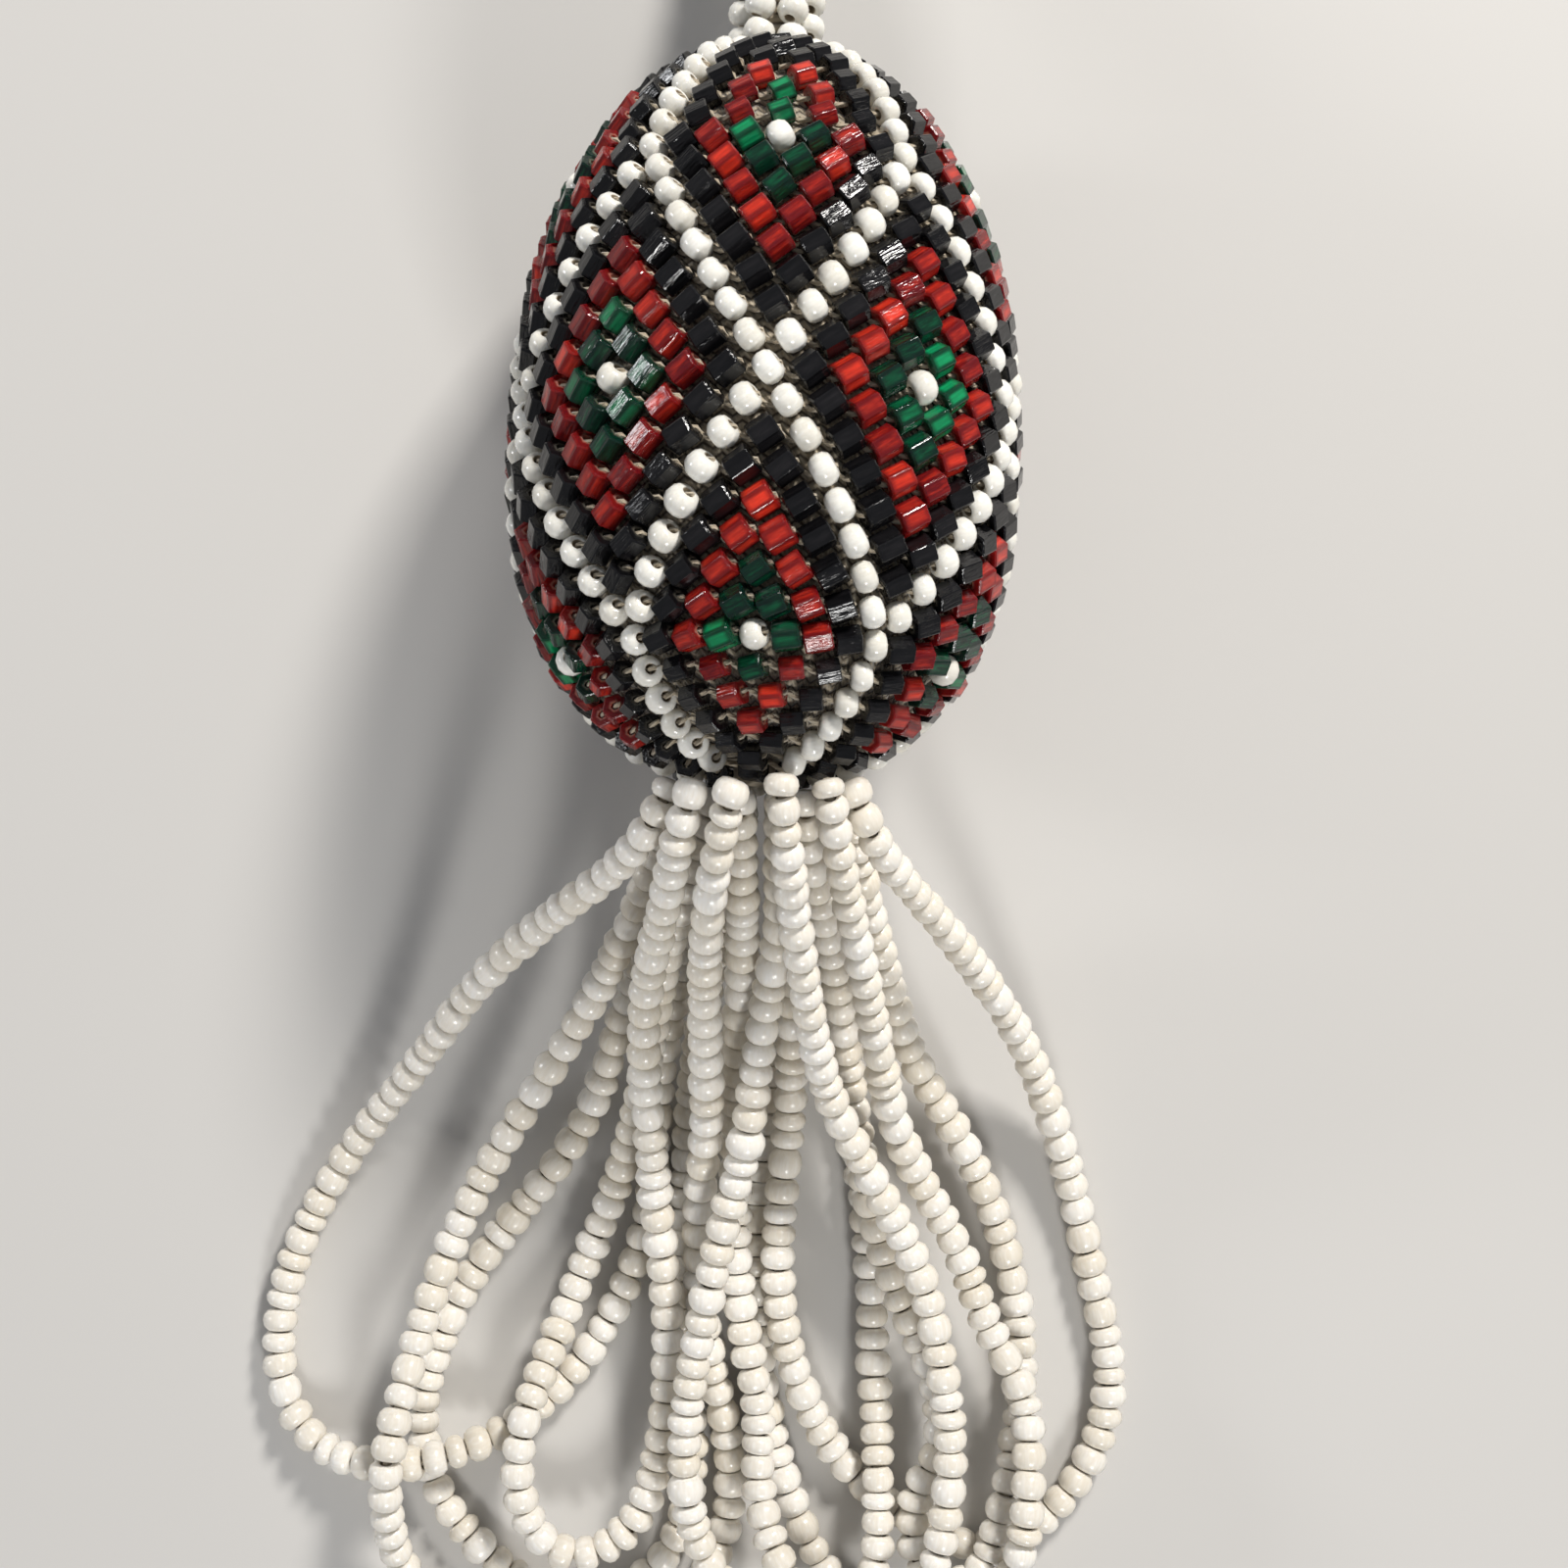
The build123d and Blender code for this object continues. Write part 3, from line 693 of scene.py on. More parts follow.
def seed_mesh() -> Mesh:
    """A rounded glass bead with a hole."""
    half, rim, wide = SEED_LENGTH / 2, SEED_RIM / 2, SEED_DIAMETER / 2
    profile = [(SEED_HOLE / 2, half * SEED_MOUTH), (SEED_HOLE / 2, -half * SEED_MOUTH)]
    for step in range(SEED_STEPS + 1):
        angle = math.pi * (step / SEED_STEPS - 0.5)
        bulge = max(math.cos(angle), 0) ** SEED_FULLNESS
        profile.append((rim + (wide - rim) * bulge, half * math.sin(angle)))

    def around(step: int) -> Vector:
        turn = math.tau * step / SEED_SIDES
        return Vector((math.cos(turn), math.sin(turn)))

    mesh = lathe("seed", profile, around, SEED_SIDES)
    mesh.shade_smooth()
    return mesh


def cut_mesh() -> Mesh:
    """A six-sided glass bead with a hole and softened edges, two steps to a side."""
    half, flat = CUT_LENGTH / 2, CUT_FLATS / 2
    profile = [
        (CUT_HOLE / 2, half),
        (CUT_HOLE / 2, -half),
        (flat - CUT_BEVEL, -half),
        (flat, CUT_BEVEL - half),
        (flat, half - CUT_BEVEL),
        (flat - CUT_BEVEL, half),
    ]

    def around(step: int) -> Vector:
        side, end = divmod(step, 2)
        middle = math.tau / 6 * side
        run = math.tan(math.pi / 6) - CUT_BEVEL / flat / 2
        along = Vector((-math.sin(middle), math.cos(middle)))
        return Vector((math.cos(middle), math.sin(middle))) + along * (run if end else -run)

    return lathe("cut", profile, around, 12)


class Graph:
    """Adds linked nodes to a tree."""

    def __init__(self, tree: NodeTree) -> None:
        """Args:
        tree: node tree to add to.
        """
        self.tree = tree

    def fill(self, node: Node, inputs: dict) -> None:
        """Args:
        node: to set.
        inputs: socket name or number to a value, or to an output to link.
        """
        for key, value in inputs.items():
            if isinstance(key, int):
                socket = node.inputs[key]
            else:
                socket = next(s for s in node.inputs if s.name == key and s.enabled)
            if isinstance(value, NodeSocket):
                self.tree.links.new(value, socket)
            else:
                socket.default_value = value

    def node(self, kind: str, inputs: dict | None = None, **settings) -> Node:
        """Args:
            kind: the node's type.
            inputs: as for fill.
            settings: the node's own properties.

        Returns:
            The new node.
        """
        made = self.tree.nodes.new(kind)
        for key, value in settings.items():
            setattr(made, key, value)
        self.fill(made, inputs or {})
        return made

    @staticmethod
    def out(node: Node, name: str) -> NodeSocket:
        """The live output of that name on a node whose type changes its sockets."""
        return next(s for s in node.outputs if s.name == name and s.enabled)

    def math(self, operation: str, *values: object) -> NodeSocket:
        """A Math node's output."""
        return self.node("ShaderNodeMath", dict(enumerate(values)), operation=operation).outputs[0]

    def mix(self, share: object, a: object, b: object) -> NodeSocket:
        """A colour between a and b."""
        inputs = {"Factor": share, "A": a, "B": b}
        return self.out(self.node("ShaderNodeMix", inputs, data_type="RGBA"), "Result")

    def ramp(self, value: object, low: object, high: object) -> NodeSocket:
        """value mapped from low..high to 0..1, kept inside it."""
        inputs = {"Value": value, "From Min": low, "From Max": high}
        return self.node("ShaderNodeMapRange", inputs).outputs["Result"]

    def clamp(self, value: object) -> NodeSocket:
        """value kept inside 0..1."""
        return self.node("ShaderNodeClamp", {"Value": value}).outputs[0]

    def stretched(self, place: object, by: Sequence[float]) -> NodeSocket:
        """A place with each axis multiplied."""
        return self.node("ShaderNodeVectorMath", {0: place, 1: by}, operation="MULTIPLY").outputs[0]

    def noise(self, place: object, scale: float, detail: float) -> NodeSocket:
        """Noise of about 0.5 over a place."""
        inputs = {"Vector": place, "Scale": scale, "Detail": detail}
        return self.node("ShaderNodeTexNoise", inputs).outputs["Fac"]

    def bump(self, height: object, strength: float, depth: float) -> NodeSocket:
        """A normal that follows a height."""
        inputs = {"Height": height, "Strength": strength, "Distance": depth}
        return self.node("ShaderNodeBump", inputs).outputs["Normal"]

    def object_place(self) -> NodeSocket:
        """The place in the object's own metres."""
        return self.node("ShaderNodeTexCoord").outputs["Object"]

    def uv_parts(self) -> tuple[NodeSocket, NodeSocket]:
        """Both parts of the UV map, round the piece and along it."""
        uv = self.node("ShaderNodeUVMap", uv_map="UVMap")
        parts = self.node("ShaderNodeSeparateXYZ", {"Vector": uv.outputs["UV"]})
        return parts.outputs["X"], parts.outputs["Y"]


def group(
    name: str, inputs: dict[str, str], outputs: dict[str, str], kind: str = "ShaderNodeTree"
) -> NodeTree:
    """Args:
        name: of the node group.
        inputs: socket name to its kind.
        outputs: socket name to its kind.
        kind: of the tree.

    Returns:
        An empty group with those sockets.
    """
    tree = bpy.data.node_groups.new(name, kind)
    for way, sockets in (("INPUT", inputs), ("OUTPUT", outputs)):
        for socket, made in sockets.items():
            tree.interface.new_socket(socket, in_out=way, socket_type=f"NodeSocket{made}")
    return tree


class BeadSpreader:
    """Puts one bead shape on many places with Geometry Nodes, and hands back a plain mesh."""

    def __init__(self) -> None:
        """Builds the tree once."""
        self.tree = group(
            "Threaded beads",
            {"Geometry": "Geometry", "Bead": "Object", "Finish": "Material", "Seed": "Int"},
            {"Geometry": "Geometry"},
            "GeometryNodeTree",
        )
        items = self.tree.interface.items_tree
        self.sockets = {item.name: item.identifier for item in items if item.in_out == "INPUT"}
        graph = Graph(self.tree)
        given = graph.node("NodeGroupInput").outputs
        bead = graph.node("GeometryNodeObjectInfo", {"Object": given["Bead"]})
        named = "GeometryNodeInputNamedAttribute"
        turn = graph.node(named, {"Name": "turn"}, data_type="QUATERNION")
        size = graph.node(named, {"Name": "size"}, data_type="FLOAT_VECTOR")
        placed = graph.node(
            "GeometryNodeInstanceOnPoints",
            {
                "Points": given["Geometry"],
                "Instance": bead.outputs["Geometry"],
                "Rotation": graph.out(turn, "Attribute"),
                "Scale": graph.out(size, "Attribute"),
            },
        )
        chance = graph.node("FunctionNodeRandomValue", {"Seed": given["Seed"]}, data_type="FLOAT")
        toned = graph.node(
            "GeometryNodeStoreNamedAttribute",
            {
                "Geometry": placed.outputs["Instances"],
                "Name": "tone",
                "Value": graph.out(chance, "Value"),
            },
            data_type="FLOAT",
            domain="INSTANCE",
        )
        whole = graph.node("GeometryNodeRealizeInstances", {"Geometry": toned.outputs["Geometry"]})
        done = graph.node(
            "GeometryNodeSetMaterial",
            {"Geometry": whole.outputs["Geometry"], "Material": given["Finish"]},
        )
        graph.node("NodeGroupOutput", {"Geometry": done.outputs["Geometry"]})

    def spread(
        self,
        name: str,
        beads: Sequence[Placed],
        shape: Object,
        finish: Material,
        seed: int,
    ) -> Object:
        """Args:
            name: of the finished piece.
            beads: where they go.
            shape: an object whose mesh is one bead.
            finish: the beads' material.
            seed: for the beads' tones.

        Returns:
            One object whose mesh holds every bead.
        """
        points = bpy.data.meshes.new(name)
        points.from_pydata([bead.spot for bead in beads], [], [])
        turns = points.attributes.new("turn", "QUATERNION", "POINT")
        turns.data.foreach_set("value", [part for bead in beads for part in bead.turn])
        sizes = points.attributes.new("size", "FLOAT_VECTOR", "POINT")
        sizes.data.foreach_set("vector", [part for bead in beads for part in bead.size])
        piece = new_mesh_object(name, points)
        modifier = piece.modifiers.new("beads", "NODES")
        modifier.node_group = self.tree
        for socket, value in (("Bead", shape), ("Finish", finish), ("Seed", seed)):
            modifier[self.sockets[socket]] = value
        graph = bpy.context.evaluated_depsgraph_get()
        made = bpy.data.meshes.new_from_object(
            piece.evaluated_get(graph), preserve_all_data_layers=True, depsgraph=graph
        )
        piece.modifiers.remove(modifier)
        piece.data = made
        bpy.data.meshes.remove(points)
        for spare in ("turn", "size"):
            if spare in made.attributes:
                made.attributes.remove(made.attributes[spare])
        return piece


class Finishes:
    """The shared node groups and every material."""

    def __init__(self) -> None:
        """Builds the shared groups, then the materials."""
        self.tone_group = self._tone_group()
        self.hole_shade_group = self._make_hole_shade()
        self.thread_group = self._thread_group()
        self.white = self._opaque_bead("white_glass", WHITE_LOOK)
        self.strand = self._opaque_bead("strand_glass", STRAND_LOOK)
        self.green = self._clear_bead("green_glass", GREEN_LOOK)
        self.red = self._clear_bead("red_glass", RED_LOOK)
        self.black = self._clear_bead("black_glass", BLACK_LOOK)
        self.thread = self._cotton("cotton_thread", knitted=False)
        self.knit = self._cotton("crochet_cotton", knitted=True)
        self.wood = self._wood()
        self.floor = self._floor()

    def _tone_group(self) -> NodeTree:
        """Colour of a bead: its own tone, streaks along its hole that on the clear beads stand
        partly for light passing through the glass, and painted light held in its flats.
        """
        amounts = ("Spread", "Rarity", "Streaks", "Glow")
        tree = group(
            "Bead tone",
            {"Dark": "Color", "Light": "Color", **dict.fromkeys(amounts, "Float")},
            {"Color": "Color", "Streak": "Float"},
        )
        graph = Graph(tree)
        given = graph.node("NodeGroupInput").outputs
        tone = graph.node("ShaderNodeAttribute", attribute_name="tone").outputs["Fac"]
        local = graph.node("ShaderNodeAttribute", attribute_name="local").outputs["Vector"]
        noise = graph.node(
            "ShaderNodeTexNoise",
            {
                "Vector": graph.stretched(local, STREAK_STRETCH),
                "W": graph.math("MULTIPLY", tone, TONE_SHIFT),
                "Scale": STREAK_SCALE,
                "Detail": 3.0,
            },
            noise_dimensions="4D",
        )
        streak = graph.ramp(noise.outputs["Fac"], *STREAK_BAND)
        own = graph.math("MULTIPLY", graph.math("POWER", tone, given["Rarity"]), given["Spread"])
        lines = graph.math("MULTIPLY", streak, given["Streaks"])
        # painted light: each flat brighter in its middle than at its borders
        window = self._window(graph, local, given["Glow"])
        share = graph.clamp(graph.math("MULTIPLY", graph.math("ADD", own, lines), window))
        colour = graph.mix(share, given["Dark"], given["Light"])
        graph.node("NodeGroupOutput", {"Color": colour, "Streak": streak})
        return tree

    @staticmethod
    def _window(graph: Graph, local: NodeSocket, glow: NodeSocket) -> NodeSocket:
        """Painted light: the brighter window in the middle of each flat of a six-sided bead.

        Args:
            graph: of the tone group.
            local: the bead's own place.
            glow: how much darker a flat's borders are.

        Returns:
            A share, 1 in the windows, and 1 less the glow at a flat's borders.
        """
        parts = graph.node("ShaderNodeSeparateXYZ", {"Vector": local}).outputs
        turn = graph.math("ARCTAN2", parts["Y"], parts["X"])
        wave = graph.math("COSINE", graph.math("MULTIPLY", turn, 6.0))
        across = graph.ramp(wave, *WINDOW_ACROSS)
        along = graph.ramp(graph.math("ABSOLUTE", parts["Z"]), *WINDOW_ALONG)
        border = graph.math("SUBTRACT", 1.0, graph.math("MULTIPLY", across, along))
        return graph.math("SUBTRACT", 1.0, graph.math("MULTIPLY", border, glow))

    def _make_hole_shade(self) -> NodeTree:
        """Painted shade inside a bead's hole and at its mouths, with a ragged edge."""
        tree = group(
            "Hole rim shade",
            {"Color": "Color", "Shade": "Color", "From": "Float"},
            {"Color": "Color", "Mask": "Float"},
        )
        graph = Graph(tree)
        given = graph.node("NodeGroupInput").outputs
        rim = graph.node("ShaderNodeAttribute", attribute_name="rim").outputs["Fac"]
        noise = graph.noise(graph.object_place(), RAGGED_SCALE, 2.0)
        ragged = graph.math("MULTIPLY_ADD", noise, RAGGED, -RAGGED / 2)
        mask = graph.ramp(graph.math("ADD", rim, ragged), given["From"], 1.0)
        colour = graph.mix(mask, given["Color"], given["Shade"])
        graph.node("NodeGroupOutput", {"Color": colour, "Mask": mask})
        return tree

    def _thread_group(self) -> NodeTree:
        """Twisted plies and loose fibres, from a UV map in turns and millimetres; the grooves
        between plies are darker as painted shade.
        """
        tree = group(
            "Twisted plies",
            {"Dark": "Color", "Light": "Color", "Plies": "Float", "Twist": "Float"},
            {"Color": "Color", "Height": "Float"},
        )
        graph = Graph(tree)
        given = graph.node("NodeGroupInput").outputs
        turn, far = graph.uv_parts()
        along = graph.math("MULTIPLY", far, given["Twist"])
        turns = graph.math("MULTIPLY_ADD", turn, given["Plies"], along)
        wave = graph.math("SINE", graph.math("MULTIPLY", turns, math.tau))
        ply = graph.math("MULTIPLY_ADD", wave, 0.5, 0.5)
        place = graph.object_place()
        fibres = graph.noise(place, FIBRE_SCALE, 4.0)
        blotch = graph.noise(place, BLOTCH_SCALE, 3.0)
        fuzz = graph.math("MULTIPLY_ADD", fibres, 0.6, -0.15)
        # painted shade: colour follows the ply wave, darker in the grooves between plies
        share = graph.math("MULTIPLY_ADD", ply, 0.45, fuzz)
        share = graph.math("ADD", share, graph.math("MULTIPLY_ADD", blotch, 0.8, -0.4))
        colour = graph.mix(graph.clamp(share), given["Dark"], given["Light"])
        height = graph.math("ADD", ply, graph.math("MULTIPLY", fibres, 0.5))
        graph.node("NodeGroupOutput", {"Color": colour, "Height": height})
        return tree

    @staticmethod
    def _material(name: str) -> tuple[Material, Graph, Node]:
        """A new material, its graph and its shader."""
        made = bpy.data.materials.new(name)
        made.use_nodes = True
        return made, Graph(made.node_tree), made.node_tree.nodes["Principled BSDF"]

    def _bead(
        self, name: str, look: BeadLook, shade_roughening: float, dents: float, further: dict
    ) -> Material:
        """Args:
            name: of the material.
            look: its colours and amounts.
            shade_roughening: how much rougher the hole is where its shade is painted.
            dents: strength of the bump that follows the streaks.
            further: inputs of the shader that the kinds of glass don't share.

        Returns:
            The material.
        """
        made, graph, shader = self._material(name)
        tone = graph.node(
            "ShaderNodeGroup",
            {
                "Dark": look.dark,
                "Light": look.light,
                "Spread": look.spread,
                "Rarity": look.rarity,
                "Streaks": look.streaks,
                "Glow": look.glow,
            },
            node_tree=self.tone_group,
        ).outputs
        # painted shade on the hole's wall and mouths
        rim = graph.node(
            "ShaderNodeGroup",
            {"Color": tone["Color"], "Shade": look.hole_shade, "From": look.hole_shade_from},
            node_tree=self.hole_shade_group,
        ).outputs
        base = {
            "Base Color": rim["Color"],
            "Roughness": graph.math("MULTIPLY_ADD", rim["Mask"], shade_roughening, look.roughness),
            "IOR": GLASS_IOR,
            "Subsurface Weight": look.depth,
            "Normal": graph.bump(tone["Streak"], dents, BUMP_DEPTH),
        }
        graph.fill(shader, base | further)
        return made

    def _opaque_bead(self, name: str, look: BeadLook) -> Material:
        """Milky opaque glass with a soft gloss."""
        further = {
            "Subsurface Radius": (1.0, 0.9, 0.75),
            "Subsurface Scale": 0.6 * MM,
            "Coat Weight": look.gloss,
            "Coat Roughness": 0.08,
        }
        return self._bead(name, look, 0.45, 0.12, further)

    def _clear_bead(self, name: str, look: BeadLook) -> Material:
        """Dark or coloured cut glass, part clear, with sharp glints."""
        further = {
            "Subsurface Radius": tuple(3 * part for part in look.light[:3]),
            "Subsurface Scale": 1.2 * MM,
            "Specular IOR Level": look.gloss,
        }
        return self._bead(name, look, 0.4, 0.25, further)

    def _cotton(self, name: str, knitted: bool) -> Material:
        """Matt beige cotton; knitted adds rows of slanting stitches over a UV in stitches, with
        painted shade in the grooves between them.
        """
        made, graph, shader = self._material(name)
        plies = graph.node(
            "ShaderNodeGroup",
            {"Dark": COTTON_DARK, "Light": COTTON_LIGHT, "Plies": PLIES, "Twist": PLY_TWIST},
            node_tree=self.thread_group,
        )
        colour, height = plies.outputs["Color"], plies.outputs["Height"]
        if knitted:
            across, far = graph.uv_parts()
            leg = graph.math("PINGPONG", across, 0.5)
            rise = graph.math("ADD", far, graph.math("MULTIPLY", leg, 1.2))
            wave = graph.math("SINE", graph.math("MULTIPLY", rise, math.tau))
            stitch = graph.math("MULTIPLY_ADD", wave, 0.5, 0.5)
            # painted shade: the grooves between stitches darkened
            colour = graph.mix(graph.ramp(stitch, 0.45, 0.0), colour, COTTON_GROOVE_SHADE)
            height = graph.math("MULTIPLY_ADD", stitch, 2.5, height)
        inputs = {
            "Base Color": colour,
            "Roughness": 0.9,
            "Sheen Weight": 0.35,
            "Sheen Roughness": 0.6,
            "Specular IOR Level": 0.2,
            "Normal": graph.bump(height, 0.8, 0.12 * MM),
        }
        graph.fill(shader, inputs)
        return made

    def _wood(self) -> Material:
        """Plain turned wood with grain along the egg."""
        made, graph, shader = self._material("core_wood")
        grain = graph.noise(graph.stretched(graph.object_place(), GRAIN_STRETCH), 5.0, 5.0)
        inputs = {
            "Base Color": graph.mix(grain, WOOD_DARK, WOOD_LIGHT),
            "Roughness": 0.7,
            "Normal": graph.bump(grain, 0.3, BUMP_DEPTH),
        }
        graph.fill(shader, inputs)
        return made

    def _floor(self) -> Material:
        """Plain pale floor."""
        made, graph, shader = self._material("floor")
        noise = graph.noise(graph.object_place(), 3.0, 2.0)
        colour = graph.mix(noise, FLOOR_DARK, FLOOR_LIGHT)
        graph.fill(shader, {"Base Color": colour, "Roughness": 0.85})
        return made


def skin(
    name: str,
    rings: Sequence[Sequence[Vector]],
    marks: Sequence[float],
    repeats: float,
    finish: Material,
) -> Object:
    """A smooth closed skin over rings of points, with a UV map.

    Args:
        name: of the piece.
        rings: each ring's points, as many in all.
        marks: each ring's height in the UV map.
        repeats: width of the UV map round a ring.
        finish: its material.

    Returns:
        The piece.
    """
    made = bmesh.new()
    uv = made.loops.layers.uv.new("UVMap")
    verts = [[made.verts.new(spot) for spot in ring] for ring in rings]
    sides = len(verts[0])
    for (low, ring), (high, following) in pairwise(zip(marks, verts)):
        for side in range(sides):
            after = (side + 1) % sides
            face = made.faces.new((ring[side], ring[after], following[after], following[side]))
            turns = (side, side + 1, side + 1, side)
            for loop, turn, mark in zip(face.loops, turns, (low, low, high, high)):
                loop[uv].uv = (turn / sides * repeats, mark)
            face.smooth = True
    for end in (verts[0], verts[-1]):
        made.faces.new(end)
    bmesh.ops.recalc_face_normals(made, faces=made.faces)
    mesh = bpy.data.meshes.new(name)
    made.to_mesh(mesh)
    made.free()
    mesh.materials.append(finish)
    return new_mesh_object(name, mesh)


def sweep(name: str, trail: Trail, radius: float, sides: int, finish: Material) -> Object:
    """A round tube along a line, with a UV map in turns and millimetres.

    Args:
        name: of the piece.
        trail: the line, in metres.
        radius: of the tube, in metres.
        sides: of its section.
        finish: its material.

    Returns:
        The tube.
    """
    points = trail.points
    angles = [math.tau * side / sides for side in range(sides)]
    across = (points[1] - points[0]).orthogonal().normalized()
    rings = []
    for index, point in enumerate(points):
        before, after = points[max(0, index - 1)], points[min(len(points) - 1, index + 1)]
        ahead = (after - before).normalized()
        across = (across - ahead * across.dot(ahead)).normalized()
        over = ahead.cross(across)
        rings.append([point + (across * math.cos(a) + over * math.sin(a)) * radius for a in angles])
    return skin(name, rings, [mark / MM for mark in trail.marks], 1, finish)


def join(name: str, pieces: Sequence[Object]) -> Object:
    """Args:
        name: of the result.
        pieces: mesh objects at the origin.

    Returns:
        The first piece, holding all of them.
    """
    with bpy.context.temp_override(
        active_object=pieces[0], object=pieces[0], selected_editable_objects=list(pieces)
    ):
        bpy.ops.object.join()
    pieces[0].name = name
    pieces[0].data.name = name
    return pieces[0]


def jacket_shell(finish: Material) -> Object:
    """Args:
        finish: the shell's material.

    Returns:
        The crocheted cover under the beads, as a closed skin with a UV map in stitches.
    """
    pointed, blunt = egg_outlines(SHELL_DEPTH)
    stations = []
    for outline, sign in ((blunt, -1), (pointed, 1)):
        reach = outline.trail.length - SHELL_OPENING
        marks = [reach * step / SHELL_RINGS for step in range(SHELL_RINGS + 1)]
        places = [(sign * mark, outline.at(mark).spot) for mark in marks]
        stations.extend(reversed(places) if sign < 0 else places[1:])
    place = egg_place()
    angles = [math.tau * side / SHELL_SIDES for side in range(SHELL_SIDES)]
    rings = []
    for _, spot in stations:
        spots = [Vector((math.sin(a) * spot.x, spot.y, math.cos(a) * spot.x)) for a in angles]
        rings.append([place @ at for at in spots])
    heights = [mark / STITCH_RISE for mark, _ in stations]
    return skin("jacket_shell", rings, heights, STITCHES_AROUND, finish)


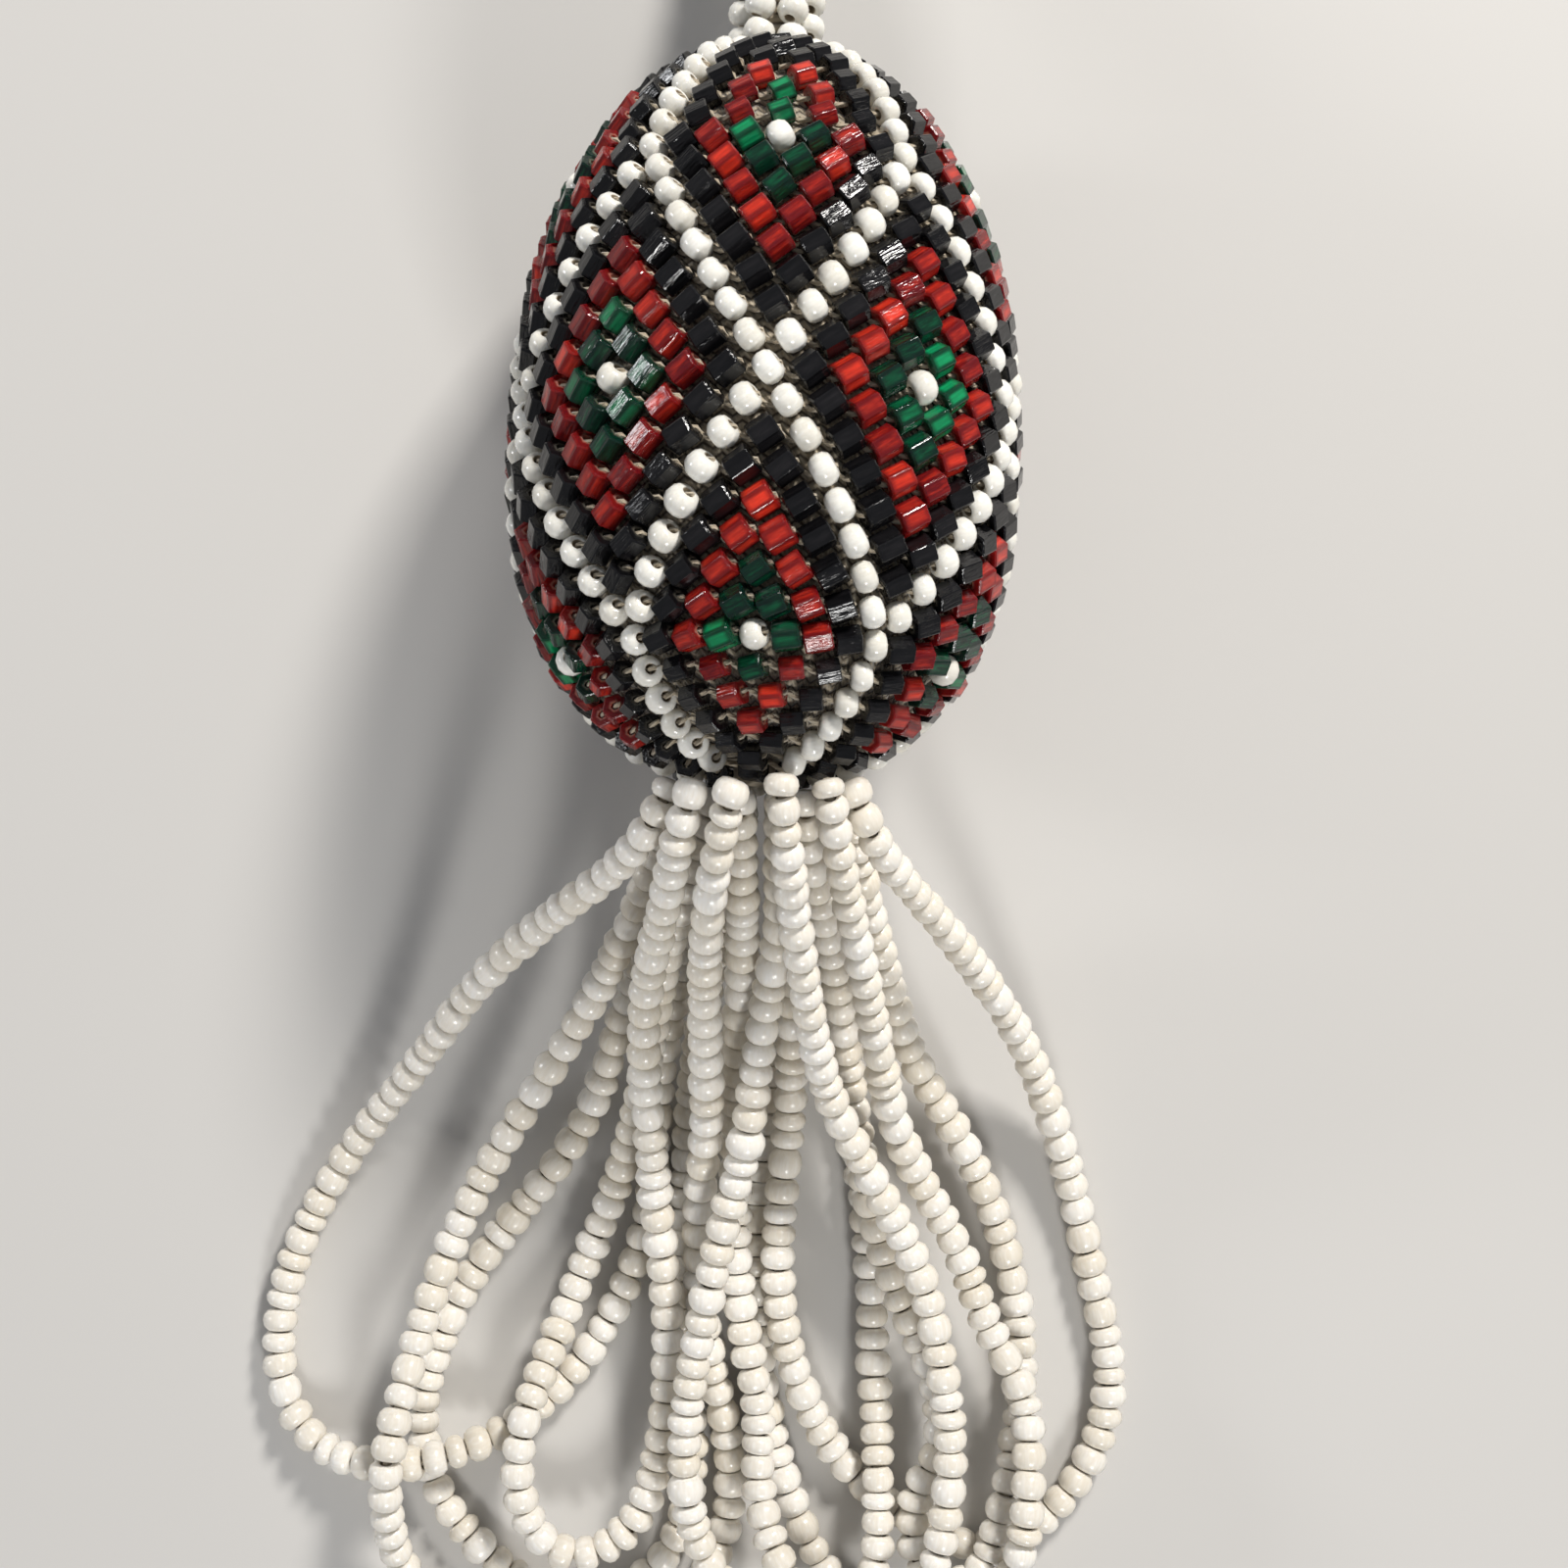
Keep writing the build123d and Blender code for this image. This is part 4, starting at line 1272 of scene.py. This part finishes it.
class Ornament:
    """Builds every piece and puts it on the frame."""

    def __init__(self) -> None:
        """Makes the finishes and the two bead shapes."""
        self.finishes = Finishes()
        self.spreader = BeadSpreader()
        self.seed = new_mesh_object("seed_shape", seed_mesh())
        self.cut = new_mesh_object("cut_shape", cut_mesh())

    def build(self) -> None:
        """Makes all pieces, cords first."""
        self._tassel()
        self._rope()
        self._egg()
        for shape in (self.seed, self.cut):
            bpy.data.objects.remove(shape)

    @staticmethod
    def _put(piece: Object, slot: str, *nodes: str) -> None:
        """Hides the CAD nodes that a piece stands for and puts the piece on its body."""
        if nodes:
            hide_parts(*nodes)
        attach(piece, BODY)

    def _strand(
        self, node: str, route: Sequence[Sequence[float]], seed: int, diameter: float
    ) -> None:
        """One strand: its beads, which stand for the CAD tube, and the thread inside."""
        trail = nurbs_trail(route)
        strand = Strand(trail, seed, diameter)
        finish = self.finishes.strand
        beads = self.spreader.spread(f"{node}_beads", strand.beads, self.seed, finish, seed)
        radius = STRAND_THREAD * MM
        cotton = self.finishes.thread
        thread = sweep(f"{node}_thread", trail, radius, STRAND_THREAD_SIDES, cotton)
        self._put(beads, "strand_glass", node)
        self._put(thread, "thread")

    def _tassel(self) -> None:
        """The nine strands."""
        for seed, (name, route) in enumerate(STRAND_ROUTES.items(), start=STRAND_SEED):
            self._strand(f"strand_{name}", route, seed, STRAND_BEAD)

    def _rope(self) -> None:
        """The rope, its beads and the loop at its end."""
        trail = nurbs_trail(ROPE_ROUTE)
        core = sweep("rope_crochet", trail, ROPE_CORE / 2 * MM, ROPE_SIDES, self.finishes.knit)
        cover = RopeCover(trail, ROPE_SEED)
        finish = self.finishes.white
        beads = self.spreader.spread("rope_cover", cover.beads, self.seed, finish, ROPE_SEED)
        self._put(core, "thread", "rope_core")
        self._put(beads, "white_glass", "rope_beads")
        self._strand("hanging_loop", LOOP_ROUTE, LOOP_SEED, LOOP_DIAMETER)

    def _egg(self) -> None:
        """The egg's beads by colour, the thread between them, the jacket and the core."""
        cover = EggCover(EGG_SEED)
        looks = (
            ("white_eye_beads", Ring.EYE, self.seed, self.finishes.white, "white_glass"),
            ("green_beads", Ring.GREEN, self.cut, self.finishes.green, "green_glass"),
            ("red_beads", Ring.RED, self.cut, self.finishes.red, "red_glass"),
            ("black_beads", Ring.BLACK, self.cut, self.finishes.black, "black_glass"),
            ("white_lattice_beads", Ring.LINE, self.seed, self.finishes.white, "white_glass"),
        )
        for node, ring, shape, finish, slot in looks:
            beads = [bead for bead in cover.beads if bead.ring is ring]
            piece = self.spreader.spread(f"{node}_set", beads, shape, finish, TONE_SEED + ring)
            self._put(piece, slot, node)
        thread, radius = self.finishes.thread, THREAD_RADIUS * MM
        threads = [
            sweep(f"row_{number}", self._eased(route), radius, THREAD_SIDES, thread)
            for number, route in enumerate(cover.threads)
        ]
        self._put(join("row_threads", threads), "thread")
        self._put(jacket_shell(self.finishes.knit), "thread", "crochet_jacket")
        for node, finish in (
            ("egg_core", self.finishes.wood),
            ("tassel_gathering", self.finishes.knit),
        ):
            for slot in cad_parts[node].material_slots:
                slot.material = finish

    @staticmethod
    def _eased(points: Sequence[Vector]) -> Trail:
        """A row's thread with each turn from bead to bead cut once."""
        cut = []
        for a, b in pairwise(points):
            cut.extend((a.lerp(b, 0.25), a.lerp(b, 0.75)))
        return Trail([*cut, cut[0]])


class Studio:
    """Camera, floor and lights."""

    @staticmethod
    def camera() -> None:
        """The photograph's view."""
        data = bpy.data.cameras.new("camera")
        data.sensor_width = CAMERA_SENSOR
        data.lens = CAMERA_LENS
        data.clip_start = CAMERA_NEAR
        made = bpy.data.objects.new("camera", data)
        made.location = CAMERA_PLACE
        bpy.context.collection.objects.link(made)
        bpy.context.scene.camera = made

    def build(self, floor: Material) -> None:
        """Args:
        floor: the floor's material.
        """
        mesh = bpy.data.meshes.new("floor")
        signs = ((-1, -1), (1, -1), (1, 1), (-1, 1))
        corners = [(x * FLOOR_HALF, y * FLOOR_HALF, 0) for x, y in signs]
        mesh.from_pydata(corners, [], [(0, 1, 2, 3)])
        mesh.materials.append(floor)
        new_mesh_object("floor", mesh)
        for lamp in LAMPS:
            self._light(lamp)
        bpy.context.scene.view_settings.view_transform = "Standard"
        world = bpy.data.worlds.new("sky")
        world.use_nodes = True
        sky = world.node_tree.nodes["Background"]
        sky.inputs["Color"].default_value = SKY_COLOUR
        sky.inputs["Strength"].default_value = SKY_STRENGTH
        bpy.context.scene.world = world

    @staticmethod
    def _light(lamp: Lamp) -> None:
        """Hangs a lamp, turned to the origin."""
        data = bpy.data.lights.new(lamp.name, "AREA")
        data.size = lamp.size
        data.energy = lamp.power
        data.color = lamp.colour
        made = bpy.data.objects.new(lamp.name, data)
        made.location = lamp.place
        made.rotation_euler = (-Vector(lamp.place)).to_track_quat("-Z", "Y").to_euler()
        bpy.context.collection.objects.link(made)


def main() -> None:
    """Builds the ornament on the frame."""
    logging.basicConfig(level=logging.INFO)
    studio = Studio()
    studio.camera()
    ornament = Ornament()
    ornament.build()
    studio.build(ornament.finishes.floor)


if __name__ == "__main__":
    main()
